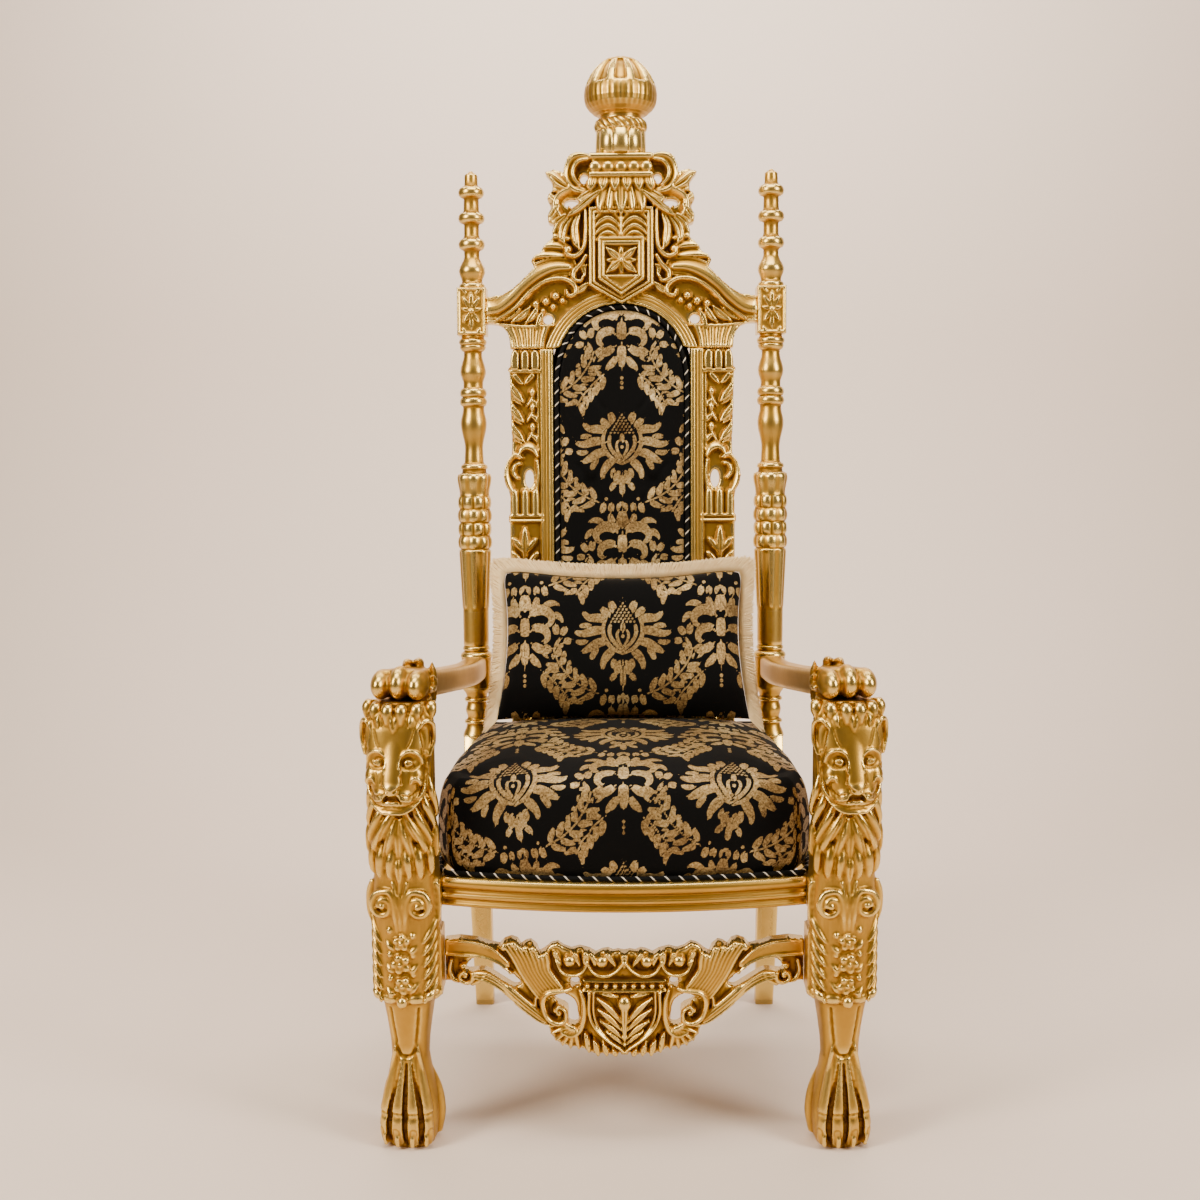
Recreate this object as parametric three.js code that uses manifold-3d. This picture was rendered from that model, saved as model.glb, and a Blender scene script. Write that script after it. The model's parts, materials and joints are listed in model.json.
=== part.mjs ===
// A carved and gilded throne with lion columns. Millimetres, +Z up, the front faces -Y.
import * as THREE from 'three';
import Module from 'manifold-3d';

const wasm = await Module();
wasm.setup();

// Driving dimensions.
const gap = 0.3;
const postX = 280;
const columnX = 352;
const columnY = 48;
const columnTurn = 7 * Math.PI / 180;
const innerX = 295;
const railTop = 447;
const railBottom = 398;
const railBow = 40;
const leanY = 540;
const leanZ = 470;
const leanAngle = 3.5 * Math.PI / 180;
const rearSplay = 88;
const archHalf = 128;
const archSpring = 762;
const archRise = 150;
const seatFront = 288;
const frameFront = -14;
const frameBack = 12;
const jointZ = 830;
const pipingRadius = 4.6;
const pillowWidth = 452;
const pillowHeight = 262;
const pillowThick = 118;
const fringeWidth = 30;

// ---- solids from rings, plates and ribs ----

function signedVolume(body) {
  let sum = 0;
  for (const [a, b, c] of body.faces) {
    const [p, q, r] = [body.points[a], body.points[b], body.points[c]];
    sum += p[0] * (q[1] * r[2] - q[2] * r[1]);
    sum += p[1] * (q[2] * r[0] - q[0] * r[2]);
    sum += p[2] * (q[0] * r[1] - q[1] * r[0]);
  }
  return sum / 6;
}

function outward(body) {
  if (signedVolume(body) > 0) {
    return body;
  }
  return { points: body.points, faces: body.faces.map(([a, b, c]) => [a, c, b]) };
}

function mapped(body, place) {
  return outward({ points: body.points.map(place), faces: body.faces });
}

// A skin over rings of equal count; a ring of one point closes to that point.
function loft(rings) {
  const points = [];
  const starts = [];
  for (const ring of rings) {
    starts.push(points.length);
    points.push(...ring);
  }
  const count = Math.max(...rings.map((ring) => ring.length));
  const faces = [];
  for (let i = 0; i + 1 < rings.length; i += 1) {
    for (let j = 0; j < count; j += 1) {
      const next = (j + 1) % count;
      if (rings[i].length === 1) {
        faces.push([starts[i], starts[i + 1] + next, starts[i + 1] + j]);
      } else if (rings[i + 1].length === 1) {
        faces.push([starts[i] + j, starts[i] + next, starts[i + 1]]);
      } else {
        faces.push([starts[i] + j, starts[i] + next, starts[i + 1] + next]);
        faces.push([starts[i] + j, starts[i + 1] + next, starts[i + 1] + j]);
      }
    }
  }
  for (const [index, reverse] of [[0, true], [rings.length - 1, false]]) {
    const ring = rings[index];
    if (ring.length > 1) {
      for (let j = 1; j + 1 < count; j += 1) {
        const start = starts[index];
        faces.push(reverse ? [start, start + j + 1, start + j] : [start, start + j, start + j + 1]);
      }
    }
  }
  return outward({ points, faces });
}

// One level of a column: an oval whose corners sharpen as power grows.
function ovalRing(count, x, y, z, halfX, halfY, power = 2) {
  return Array.from({ length: count }, (_, index) => {
    const turn = (index + 0.5) * 2 * Math.PI / count;
    const c = Math.cos(turn);
    const s = Math.sin(turn);
    const bow = (value) => Math.sign(value) * Math.abs(value) ** (2 / power);
    return [x + halfX * bow(c), y + halfY * bow(s), z];
  });
}

// A turned or fluted body about a vertical axis, from [height, radius] pairs.
function turned(profile, sides, x, y, lobes = 0, lobeDepth = 0) {
  return loft(profile.map(([z, radius]) => {
    if (radius === 0) {
      return [[x, y, z]];
    }
    return Array.from({ length: sides }, (_, index) => {
      const turn = (index + 0.5) * 2 * Math.PI / sides;
      const r = radius * (1 + lobeDepth * Math.cos(lobes * turn));
      return [x + r * Math.cos(turn), y + r * Math.sin(turn), z];
    });
  }));
}

function ball(x, y, z, rx, ry, rz, sides = 8, levels = 4) {
  const rings = [[[x, y, z - rz]]];
  for (let i = 1; i < levels; i += 1) {
    const turn = Math.PI * i / levels;
    rings.push(ovalRing(sides, x, y, z - rz * Math.cos(turn), rx * Math.sin(turn), ry * Math.sin(turn)));
  }
  rings.push([[x, y, z + rz]]);
  return loft(rings);
}

function box(x0, x1, y0, y1, z0, z1) {
  return loft([z0, z1].map((z) => [[x0, y0, z], [x1, y0, z], [x1, y1, z], [x0, y1, z]]));
}

// A rib along a path: [x, y, z, radius] stations, flattened towards the reference direction.
function rib(stations, sides = 4, across = [0, 1, 0], flat = 1) {
  const reference = new THREE.Vector3(...across);
  const places = stations.map((station) => new THREE.Vector3(station[0], station[1], station[2]));
  return loft(stations.map(([x, y, z, radius], index) => {
    if (radius === 0) {
      return [[x, y, z]];
    }
    const before = places[Math.max(0, index - 1)];
    const after = places[Math.min(places.length - 1, index + 1)];
    const along = after.clone().sub(before).normalize();
    const side = along.clone().cross(reference).normalize();
    const up = side.clone().cross(along).normalize();
    return Array.from({ length: sides }, (_, step) => {
      const turn = (step + (sides === 4 ? 0 : 0.5)) * 2 * Math.PI / sides;
      const a = radius * Math.cos(turn);
      const b = radius * flat * Math.sin(turn);
      return [
        x + side.x * a + up.x * b,
        y + side.y * a + up.y * b,
        z + side.z * a + up.z * b,
      ];
    });
  }));
}

// A leaf or lock: pointed at both ends, fullest at a part of its length.
function leaf(from, to, radius, fullAt = 0.4, across = [0, 1, 0], flat = 0.8) {
  const middle = from.map((value, axis) => value + (to[axis] - value) * fullAt);
  return rib([[...from, 0], [...middle, radius], [...to, 0]], 4, across, flat);
}

// A flat board standing in the XZ plane between two depths, with through holes.
function plate(outline, holes, y0, y1) {
  const loops = [outline, ...holes].map((loop, index) => {
    const ring = loop.map(([x, z]) => new THREE.Vector2(x, z));
    const clockwise = THREE.ShapeUtils.isClockWise(ring);
    return clockwise === (index > 0) ? ring : ring.reverse();
  });
  const flat = loops.flat();
  const faces = [];
  const size = flat.length;
  for (const [a, b, c] of THREE.ShapeUtils.triangulateShape(loops[0], loops.slice(1))) {
    const area = (flat[b].x - flat[a].x) * (flat[c].y - flat[a].y)
      - (flat[c].x - flat[a].x) * (flat[b].y - flat[a].y);
    const [p, q] = area > 0 ? [b, c] : [c, b];
    faces.push([a, p, q], [a + size, q + size, p + size]);
  }
  let start = 0;
  for (const loop of loops) {
    for (let i = 0; i < loop.length; i += 1) {
      const a = start + i;
      const b = start + (i + 1) % loop.length;
      faces.push([b, a, a + size], [b, a + size, b + size]);
    }
    start += loop.length;
  }
  const points = [...flat.map((p) => [p.x, y0, p.y]), ...flat.map((p) => [p.x, y1, p.y])];
  return outward({ points, faces });
}

function circle(x, z, rx, rz, count = 8) {
  return Array.from({ length: count }, (_, index) => {
    const turn = index * 2 * Math.PI / count;
    return [x + rx * Math.cos(turn), z + rz * Math.sin(turn)];
  });
}

const mirrorPoint = ([x, y, z]) => [-x, y, z];
const mirrored = (body) => mapped(body, mirrorPoint);
const bothSides = (bodies) => [...bodies, ...bodies.map(mirrored)];

// The left half of an outline, run from the axis round to the axis, closed by its mirror image.
function wholeOutline(half) {
  const other = half.filter(([x]) => x !== 0).map(([x, z]) => [-x, z]).reverse();
  return [...half, ...other];
}

// ---- joins and cuts ----

function toManifold(body) {
  return new wasm.Manifold(new wasm.Mesh({
    numProp: 3,
    vertProperties: new Float32Array(body.points.flat()),
    triVerts: new Uint32Array(body.faces.flat()),
  }));
}

function fromManifold(whole) {
  const mesh = whole.getMesh();
  const points = [];
  const faces = [];
  for (let i = 0; i < mesh.vertProperties.length; i += mesh.numProp) {
    points.push([mesh.vertProperties[i], mesh.vertProperties[i + 1], mesh.vertProperties[i + 2]]);
  }
  for (let i = 0; i < mesh.triVerts.length; i += 3) {
    faces.push([mesh.triVerts[i], mesh.triVerts[i + 1], mesh.triVerts[i + 2]]);
  }
  return { points, faces };
}

function join(bodies, cuts = []) {
  let whole = toManifold(bodies[0]);
  for (const body of bodies.slice(1)) {
    whole = whole.add(toManifold(body));
  }
  for (const body of cuts) {
    whole = whole.subtract(toManifold(body));
  }
  return fromManifold(whole);
}

// ---- placing ----

function leaned(body) {
  const c = Math.cos(leanAngle);
  const s = Math.sin(leanAngle);
  return mapped(body, ([x, y, z]) => [x, leanY + y * c + z * s, leanZ - y * s + z * c]);
}

function onColumn(body) {
  const c = Math.cos(columnTurn);
  const s = Math.sin(columnTurn);
  return mapped(body, ([x, y, z]) => [x * c + y * s - columnX, y * c - x * s + columnY, z]);
}

const bowAt = (x) => -railBow * (1 - (x / innerX) ** 2);
const bowed = (body) => mapped(body, ([x, y, z]) => [x, y + bowAt(x), z]);

// ---- lion column: paw, leg, flowered belt, mane and lion head ----

function lionColumn() {
  const levels = [
    [0, 37, 34, -6, 2.4],
    [22, 46, 42, -5, 2.4],
    [62, 50, 45, -4, 2.3],
    [104, 41, 37, -3, 2.3],
    [148, 30, 30, 0, 2.3],
    [200, 34, 34, 2, 2.8],
    [246, 42, 42, 3, 3],
    [252, 50, 47, 2, 3],
    [420, 54, 49, 2, 2.8],
    [470, 51, 47, 2, 2.6],
    [700, 47, 43, 4, 2.6],
    [741.5, 42, 40, 4, 2.6],
  ];
  const bodies = [loft(levels.map(([z, a, b, y, power]) => ovalRing(12, 0, y, z, a, b, power)))];
  for (const x of [-33, -12, 12, 33]) {
    const front = -Math.sqrt(1 - (x / 60) ** 2);
    bodies.push(rib([
      [x * 0.55, front * 24, 150, 0],
      [x * 0.8, front * 36, 96, 9],
      [x, front * 42, 56, 11.5],
      [x, front * 42, 22, 11],
      [x * 0.94, front * 36, 4, 8],
    ], 4, [1, 0, 0]));
  }
  // Head, muzzle, ears, cheek volutes and nose.
  bodies.push(ball(0, -22, 652, 55, 50, 86, 10, 5));
  bodies.push(ball(0, -62, 602, 30, 28, 38, 8, 4));
  bodies.push(...bothSides([
    ball(-50, -20, 690, 12, 13, 19, 6, 3),
    ball(-37, -42, 602, 14, 16, 22, 6, 3),
  ]));
  bodies.push(ball(0, -86, 622, 12, 9, 14, 4, 3));
  // Mane: a fringe of locks over the brow and two rows of pointed locks on the chest.
  for (const x of [-32, 0, 32]) {
    bodies.push(leaf([x, -30, 740], [x * 1.15, -52, 696], 13, 0.5));
  }
  for (const x of [-28, 0, 28]) {
    bodies.push(leaf([x * 1.1, -40, 572], [x * 0.75, -44, 472], 15, 0.35));
  }
  for (const x of [-42, -14, 14, 42]) {
    const y = -40 + Math.abs(x) * 0.4;
    bodies.push(leaf([x, y, 520], [x * 0.9, y - 6, 436], 12, 0.4));
  }
  // Volutes over the belt, three flower clusters and the side leaves.
  bodies.push(...bothSides([
    ball(-27, -40, 408, 19, 14, 20, 6, 3),
    leaf([-43, -26, 394], [-34, -38, 270], 9, 0.5),
  ]));
  for (const z of [352, 318, 282]) {
    bodies.push(ball(0, -44, z, 16, 11, 15, 6, 3));
  }
  // Flat shoulders where the rails, the apron and the side rail meet the column.
  const shaft = onColumn(join(bodies));
  const front = -columnX;
  return join([
    shaft,
    box(front, -innerX, 30, 92, railBottom - 4, railTop),
    box(front, -innerX, 22, 80, 254, 362),
    box(-358, -312, 70, 104, railBottom - 4, railTop),
  ]);
}

// ---- arm: from the rear post, curving out and up to the lobed roll over the lion ----

function arm() {
  const stations = [
    [-281, 545, 700, 22, 23],
    [-287, 462, 704, 22, 22],
    [-300, 376, 713, 23, 22],
    [-316, 268, 728, 24, 22],
    [-331, 164, 744, 26, 23],
    [-342, 98, 757, 30, 25],
    [-349, 50, 767, 38, 22],
    [-352, 30, 768, 36, 22],
  ];
  const bar = loft(stations.map(([x, y, z, halfX, halfZ]) => {
    return ovalRing(8, 0, 0, 0, halfX, halfZ, 5).map(([a, b]) => [x + a, y, z + b]);
  }));
  const lobes = [];
  for (const [x, drop] of [[-29, 3], [0, 0], [29, 3]]) {
    lobes.push(onColumn(ball(x, -14, 769 - drop, 17, 37, 27 - drop, 6, 4)));
  }
  const leafTip = leaf([-316, 128, 716], [-312, 66, 806], 13, 0.6, [1, 0, 0]);
  // The rear end is hollowed to fit round the post, and the front rests on the column.
  const postSleeve = leaned(turned([[150, 30.2], [300, 30.2]], 16, -postX, 0));
  return join([bar, leafTip, ...lobes], [box(-450, -250, -60, 110, 600, 741.5 + gap), postSleeve]);
}

// ---- rear post: raked leg, seat block and turned post in one length ----

const postProfile = [
  [96, 29], [122, 20], [128, 23], [134, 19], [163, 19], [170, 24],
  [192, 29], [250, 29], [262, 24], [332, 25], [448, 30.5],
  [455, 27], [473, 32], [490, 28], [508, 32], [526, 28], [542, 32],
  [556, 28], [590, 33.5], [598, 24], [614, 22], [645, 17], [690, 24.5],
  [722, 20], [734, 25.5], [765, 18], [790, 24], [826, 17],
  [836, 25.5], [853, 21], [955, 19], [978, 24.5], [1009, 14.5],
  [1026, 24.5], [1044, 14], [1062, 14], [1075, 24.5], [1100, 14],
  [1120, 24], [1133, 12.5], [1160, 9],
];

function rearPost() {
  const half = 27;
  const post = join([
    turned(postProfile, 8, -postX, 0),
    box(-postX - half, -postX + half, -half, half, 855, 945),
    box(-postX - 23.5, -postX + 23.5, -23, 23, -66, 101),
  ]);
  const leg = loft([
    [0, rearSplay, 18, 18],
    [230, rearSplay * 0.42, 21, 21],
    [430, 0, 23, 22.6],
  ].map(([z, back, halfX, halfY]) => {
    const x = -postX;
    const y = leanY - 2 + back;
    return [
      [x - halfX, y - halfY, z],
      [x + halfX, y - halfY, z],
      [x + halfX, y + halfY, z],
      [x - halfX, y + halfY, z],
    ];
  }));
  return join([leaned(post), leg]);
}

// ---- back frame ----

// The inner edge of the back frame, grown outwards by an offset; low end first on the left.
function archPath(offset, steps) {
  const path = [];
  for (let i = 0; i <= steps; i += 1) {
    const turn = Math.PI * (1 - i / steps);
    const bulge = (value) => Math.sign(value) * Math.abs(value) ** (2 / 2.15);
    path.push([
      (archHalf + offset) * bulge(Math.cos(turn)),
      archSpring + (archRise + offset) * bulge(Math.sin(turn)),
    ]);
  }
  return path;
}

function backStile() {
  const low = -22;
  const outline = [
    [-archHalf, low],
    [-212, low],
    [-212, 520],
    [-210, 550],
    [-213, 562],
    [-221, 580],
    [-222, 602],
    [-216, 622],
    [-207, 634],
    [-208, 700],
    [-212, 786],
    [-214, 796],
    [-209, jointZ - 0.15],
    [-archHalf, jointZ - 0.15],
  ];
  const board = plate(outline, [circle(-175, 587, 9, 17, 8)], frameFront, frameBack);
  const reliefs = [];
  for (const x of [-147, -133.5]) {
    reliefs.push(rib([[x, frameFront, low, 5], [x, frameFront, jointZ - 0.15, 5]], 6));
  }
  for (const x of [-200, -181, -163]) {
    reliefs.push(leaf([x, frameFront, 788], [x, frameFront - 4, jointZ - 0.6], 9, 0.7));
  }
  for (const z of [758, 712, 666]) {
    reliefs.push(leaf([-198, frameFront, z + 14], [-164, frameFront, z - 26], 11, 0.5));
  }
  reliefs.push(rib([[-212, frameFront, 512, 5], [-156, frameFront, 512, 5]], 6));
  reliefs.push(leaf([-184, frameFront, 500], [-184, frameFront, 436], 12, 0.5));
  reliefs.push(ball(-201, frameFront, 596, 15, 9, 19, 6, 4));
  reliefs.push(leaf([-190, frameFront, 652], [-158, frameFront, 622], 8, 0.5));
  return leaned(join([board, ...reliefs]));
}

function crest() {
  const arch = archPath(0, 16).filter(([, z]) => z > jointZ);
  const half = [
    [0, 1184],
    [-56, 1184],
    [-74, 1189],
    [-90, 1188],
    [-102, 1174],
    [-107, 1150],
    [-122, 1159],
    [-141, 1153],
    [-127, 1134],
    [-127, 1120],
    [-137, 1104],
    [-131, 1086],
    [-136, 1064],
    [-124, 1056],
    [-127, 1036],
    [-142, 1020],
    [-151, 1006],
    [-168, 992],
    [-162, 980],
    [-184, 957],
    [-202, 940],
    [-222, 929],
    [-253 + gap, 925],
    [-253 + gap, 877],
    [-232, 876],
    [-217, 866],
    [-209, 848],
    [-208, jointZ + 0.15],
    [-archHalf, jointZ + 0.15],
  ];
  const halfArch = arch.filter(([x]) => x < 0);
  const outline = wholeOutline([...half, ...halfArch, [0, archSpring + archRise]]);
  const holes = [];
  for (const side of [-1, 1]) {
    holes.push(circle(side * 68, 1142, 8, 9, 6));
    holes.push(circle(side * 92, 1097, 14, 8, 8));
    holes.push(circle(side * 137, 884, 9, 9, 6));
  }
  const board = plate(outline, holes, frameFront, frameBack);
  const front = frameFront;
  const reliefs = [];
  // Moulding round the arch.
  const reed = 12;
  const path = archPath(reed, 12).filter(([, z]) => z > jointZ + 16);
  const foot = archHalf + reed - 3;
  const ends = [[-foot, jointZ + 12], ...path, [foot, jointZ + 12]];
  reliefs.push(rib(ends.map(([x, z]) => [x, front, z, 10]), 4));
  // Curved rail to each post: a broad reed between two narrow ones, rolling in at the shield.
  const rail = [[-252, 901], [-226, 903], [-204, 914], [-186, 932], [-166, 951], [-140, 963], [-112, 962]];
  const sweep = (shift, radius, end) => rib(rail.map(([x, z], index) => {
    const lift = shift * (1 - index * 0.08);
    const slant = Math.min(index, 6 - index) / 3 * 0.5;
    return [x - lift * slant, front, z + lift * (1 - slant * 0.3), index === 6 ? end : radius];
  }), 4);
  const leftSide = [
    sweep(0, 10, 6),
    sweep(17, 6, 3),
    sweep(-17, 6, 3),
    ball(-92, front, 946, 16, 12, 20, 6, 4),
    leaf([-162, front, 985], [-100, front, 1000], 11, 0.3),
    leaf([-146, front, 1012], [-100, front, 1022], 11, 0.3),
    leaf([-124, front, 1046], [-74, front, 1092], 13, 0.5),
    leaf([-92, front, 1075], [-90, front, 992], 13, 0.75),
    leaf([-132, front, 1108], [-70, front, 1126], 10, 0.4),
    leaf([-139, front - 2, 1152], [-84, front, 1122], 10, 0.35),
    rib([
      [-58, front, 1182, 6], [-84, front - 6, 1182, 9], [-100, front - 6, 1160, 10],
      [-92, front - 4, 1130, 8], [-70, front, 1118, 0],
    ], 4),
    leaf([-192, front, 838], [-166, front, 904], 13, 0.5),
  ];
  reliefs.push(...bothSides(leftSide));
  // Shield with its sunk square and flower, the fan of petals and the top block.
  const shield = (x, top, low, point) => [[-x, top], [-x, low], [0, point], [x, low], [x, top]];
  reliefs.push(plate(shield(59, 1088, 946, 914), [], -32, -2));
  reliefs.push(plate(shield(41, 1034, 958, 926), [], -38, -3));
  reliefs.push(box(-53, 53, -46, 30, 1146, 1182));
  reliefs.push(box(-57, 57, -49, 33, 1140, 1149));
  reliefs.push(box(-56, 56, -49, 33, 1176, 1184));
  for (const x of [-38, -19, 0, 19, 38]) {
    reliefs.push(leaf([x * 0.8, -30, 1150], [x * 1.1, -38, 1084], 12, 0.6));
  }
  for (const [x, z] of [[-12, 1002], [12, 1002], [-12, 980], [12, 980]]) {
    reliefs.push(leaf([0, -34, 991], [x * 1.9, -36, z + (z - 991)], 8, 0.5));
  }
  reliefs.push(...bothSides([leaf([-4, -32, 1046], [-42, -32, 1068], 10, 0.5)]));
  const square = box(-30, 30, -60, -34, 966, 1018);
  return leaned(join([join([board, ...reliefs.slice(0, -6)], [square]), ...reliefs.slice(-6)]));
}

function crownFinial() {
  const y = -8;
  const drum = turned([
    [1184 + gap, 46],
    [1229, 46],
  ], 16, 0, y, 8, 0.05);
  const ring = turned([[1227, 42], [1233, 48], [1246, 48], [1252, 40]], 10, 0, y);
  const dome = turned([
    [1250, 38],
    [1258, 38],
    [1266, 58],
    [1290, 68],
    [1314, 64],
    [1338, 53],
    [1356, 30],
    [1363, 16],
  ], 16, 0, y, 8, 0.035);
  return leaned(join([drum, ring, dome]));
}

function backBottomRail() {
  return leaned(box(-archHalf + gap, archHalf - gap, frameFront + 2, frameBack, -22, 12));
}

// ---- front apron and seat rails ----

function frontApron() {
  const half = [
    [0, 324],
    [-18, 326],
    [-32, 326],
    [-46, 320],
    [-62, 328],
    [-98, 330],
    [-118, 335],
    [-138, 320],
    [-152, 338],
    [-168, 332],
    [-182, 342],
    [-196, 338],
    [-204, 328],
    [-240, 337],
    [-270, 338],
    [-innerX + gap, 333],
    [-innerX + gap, 262],
    [-264, 262],
    [-250, 256],
    [-237, 265],
    [-212, 262],
    [-180, 238],
    [-150, 212],
    [-124, 199],
    [-121, 184],
    [-108, 170],
    [-70, 162],
    [-50, 153],
    [-20, 151],
    [0, 156],
  ];
  const slot = [
    [-262, 290], [-250, 303], [-232, 307], [-206, 301], [-185, 285], [-168, 269],
    [-179, 262], [-200, 273], [-228, 287], [-256, 283],
  ];
  const kidney = [
    [-115, 248], [-98, 253], [-81, 243], [-76, 204], [-91, 206], [-92, 230], [-110, 240],
  ];
  const other = (loop) => loop.map(([x, z]) => [-x, z]);
  const holes = [slot, other(slot), kidney, other(kidney)];
  holes.push(circle(-80, 275, 8, 8, 6), circle(80, 275, 8, 8, 6));
  const [front, back] = [56, 86];
  const leftSide = [
    rib([
      [-284, front, 320, 7], [-262, front, 324, 8], [-222, front, 322, 8],
      [-186, front, 300, 8], [-150, front, 262, 6], [-124, front, 216, 0],
    ]),
    rib([
      [-246, front, 276, 6], [-214, front, 274, 8], [-178, front, 250, 9],
      [-140, front, 214, 8], [-112, front, 198, 0],
    ]),
    ball(-251, front, 271, 13, 12, 14, 6, 3),
    ball(-114, front, 226, 18, 11, 20, 6, 4),
    leaf([-186, front, 336], [-132, front, 258], 13, 0.3),
    leaf([-156, front, 334], [-104, front, 274], 13, 0.3),
    leaf([-118, front, 330], [-76, front, 290], 13, 0.35),
    rib([[-60, front, 268, 6], [-56, front, 220, 8], [-34, front, 184, 8], [-4, front, 158, 0]]),
    leaf([-38, front, 246], [-4, front, 178], 8, 0.4),
  ];
  const reliefs = bothSides(leftSide);
  reliefs.push(leaf([0, front, 252], [0, front, 160], 14, 0.4));
  reliefs.push(rib([[-50, front, 273, 5], [50, front, 273, 5]]));
  reliefs.push(ball(0, front, 306, 14, 10, 14, 6, 3));
  return bowed(join([plate(wholeOutline(half), holes, front, back), ...reliefs]));
}

function frontRail() {
  const reeds = [
    [0, railBottom], [-5, railBottom + 6], [-1, railBottom + 13],
    [-7, railBottom + 21], [-2, railBottom + 30], [-9, railBottom + 36],
    [-9, railTop - 4], [-4, railTop], [32, railTop], [32, railBottom],
  ];
  const steps = 8;
  const end = innerX - gap;
  const rings = [];
  for (let i = 0; i <= steps; i += 1) {
    const x = -end + 2 * end * i / steps;
    rings.push(reeds.map(([y, z]) => [x, 50 + y + bowAt(x), z]));
  }
  // Caps follow the reeded section, so they are cut from a plate of the same outline.
  const flatCap = rings[0].map(([, y, z]) => new THREE.Vector2(y, z));
  const lids = THREE.ShapeUtils.triangulateShape(flatCap, []);
  const count = reeds.length;
  const faces = [];
  for (let i = 0; i < steps; i += 1) {
    for (let j = 0; j < count; j += 1) {
      const a = i * count + j;
      const b = i * count + (j + 1) % count;
      faces.push([a, b, b + count], [a, b + count, a + count]);
    }
  }
  const probe = rings[0];
  for (const [a, b, c] of lids) {
    const area = (probe[b][1] - probe[a][1]) * (probe[c][2] - probe[a][2])
      - (probe[c][1] - probe[a][1]) * (probe[b][2] - probe[a][2]);
    const [p, q] = area > 0 ? [b, c] : [c, b];
    const last = steps * count;
    faces.push([a, p, q], [a + last, q + last, p + last]);
  }
  return outward({ points: rings.flat(), faces });
}

function sideRail() {
  const plan = [[-352, 104 + gap], [-320, 104 + gap], [-262, 511], [-294, 511]];
  return loft([railBottom, railTop].map((z) => plan.map(([x, y]) => [x, y, z])));
}

function rearRail() {
  const end = postX - 23.5 - gap;
  return box(-end, end, 518, 552, railBottom, railTop);
}

function seatBoard() {
  const plan = [[-292, 100], [292, 100], [250, 510], [-250, 510]];
  return loft([402, 410].map((z) => plan.map(([x, y]) => [x, y, z])));
}

// ---- upholstery ----

// The seat seen from above, grown or shrunk by a margin; it starts at the rear left corner.
function seatPlan(margin) {
  const front = [];
  const steps = 8;
  for (let i = 0; i <= steps; i += 1) {
    const x = -seatFront + 2 * seatFront * i / steps;
    front.push([x + margin * x / seatFront, 56 + bowAt(x) - margin]);
  }
  const left = [[-264 - margin, 500], [-279 - margin, 400], [-298 - margin, 240], [-304 - margin, 114]];
  const right = left.map(([x, y]) => [-x, y]).reverse();
  const rear = [[150, 506], [0, 506], [-150, 506]].map(([x, y]) => [x, y + Math.min(margin, 0)]);
  return [...left, ...front, ...right, ...rear];
}

function seatUpholstery() {
  const levels = [[448, -9], [457, -7], [466, 0], [520, 3], [568, -2], [600, -15], [616, -45]];
  const rings = levels.map(([z, margin]) => seatPlan(margin).map(([x, y]) => [x, y, z]));
  for (const [z, scale] of [[629, 0.55], [635, 0.22]]) {
    rings.push(seatPlan(-45).map(([x, y]) => [x * scale, 290 + (y - 290) * scale, z]));
  }
  rings.push([[0, 290, 636]]);
  return loft(rings);
}

function seatPiping() {
  const path = seatPlan(1).slice(0, 17);
  return rib(path.map(([x, y]) => [x, y, railTop + gap + pipingRadius, pipingRadius]), 4, [0, 0, 1]);
}

function backPlan(offset) {
  return [
    [-archHalf - offset, 14 - offset],
    [-archHalf - offset, 300],
    [-archHalf - offset, 560],
    ...archPath(offset, 14),
    [archHalf + offset, 560],
    [archHalf + offset, 300],
    [archHalf + offset, 14 - offset],
    [0, 14 - offset],
  ];
}

function backUpholstery() {
  const levels = [[11, -11], [-12, -11], [-22, -18], [-30, -40], [-34, -75]];
  const rings = levels.map(([y, offset]) => backPlan(offset).map(([x, z]) => [x, y, z]));
  rings.push([[0, -36, 450]]);
  return leaned(loft(rings));
}

function backPiping() {
  const offset = -pipingRadius - 1.2;
  const path = [[-archHalf - offset, 14], ...archPath(offset, 14), [archHalf + offset, 14]];
  const y = frameFront - 1;
  return leaned(rib(path.map(([x, z]) => [x, y, z, pipingRadius]), 4));
}

function outsideBack() {
  return leaned(plate(backPlan(8), [], frameBack + gap, frameBack + 6));
}

// The loose pillow and its fringe lie in one tilted plane against the back.
function tilted(body) {
  const angle = 14 * Math.PI / 180;
  const c = Math.cos(angle);
  const s = Math.sin(angle);
  const [y0, z0] = [418, 641];
  return mapped(body, ([x, y, z]) => [x, y0 + y * c + z * s, z0 - y * s + z * c]);
}

function pillowEdge(u, v) {
  const sag = 15 * (1 - u * u) * Math.max(0, v);
  const waist = 9 * (1 - v * v);
  const x = u * (pillowWidth / 2 - waist * Math.abs(u));
  const z = pillowHeight * (v + 1) / 2 - sag;
  return [x, z];
}

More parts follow.
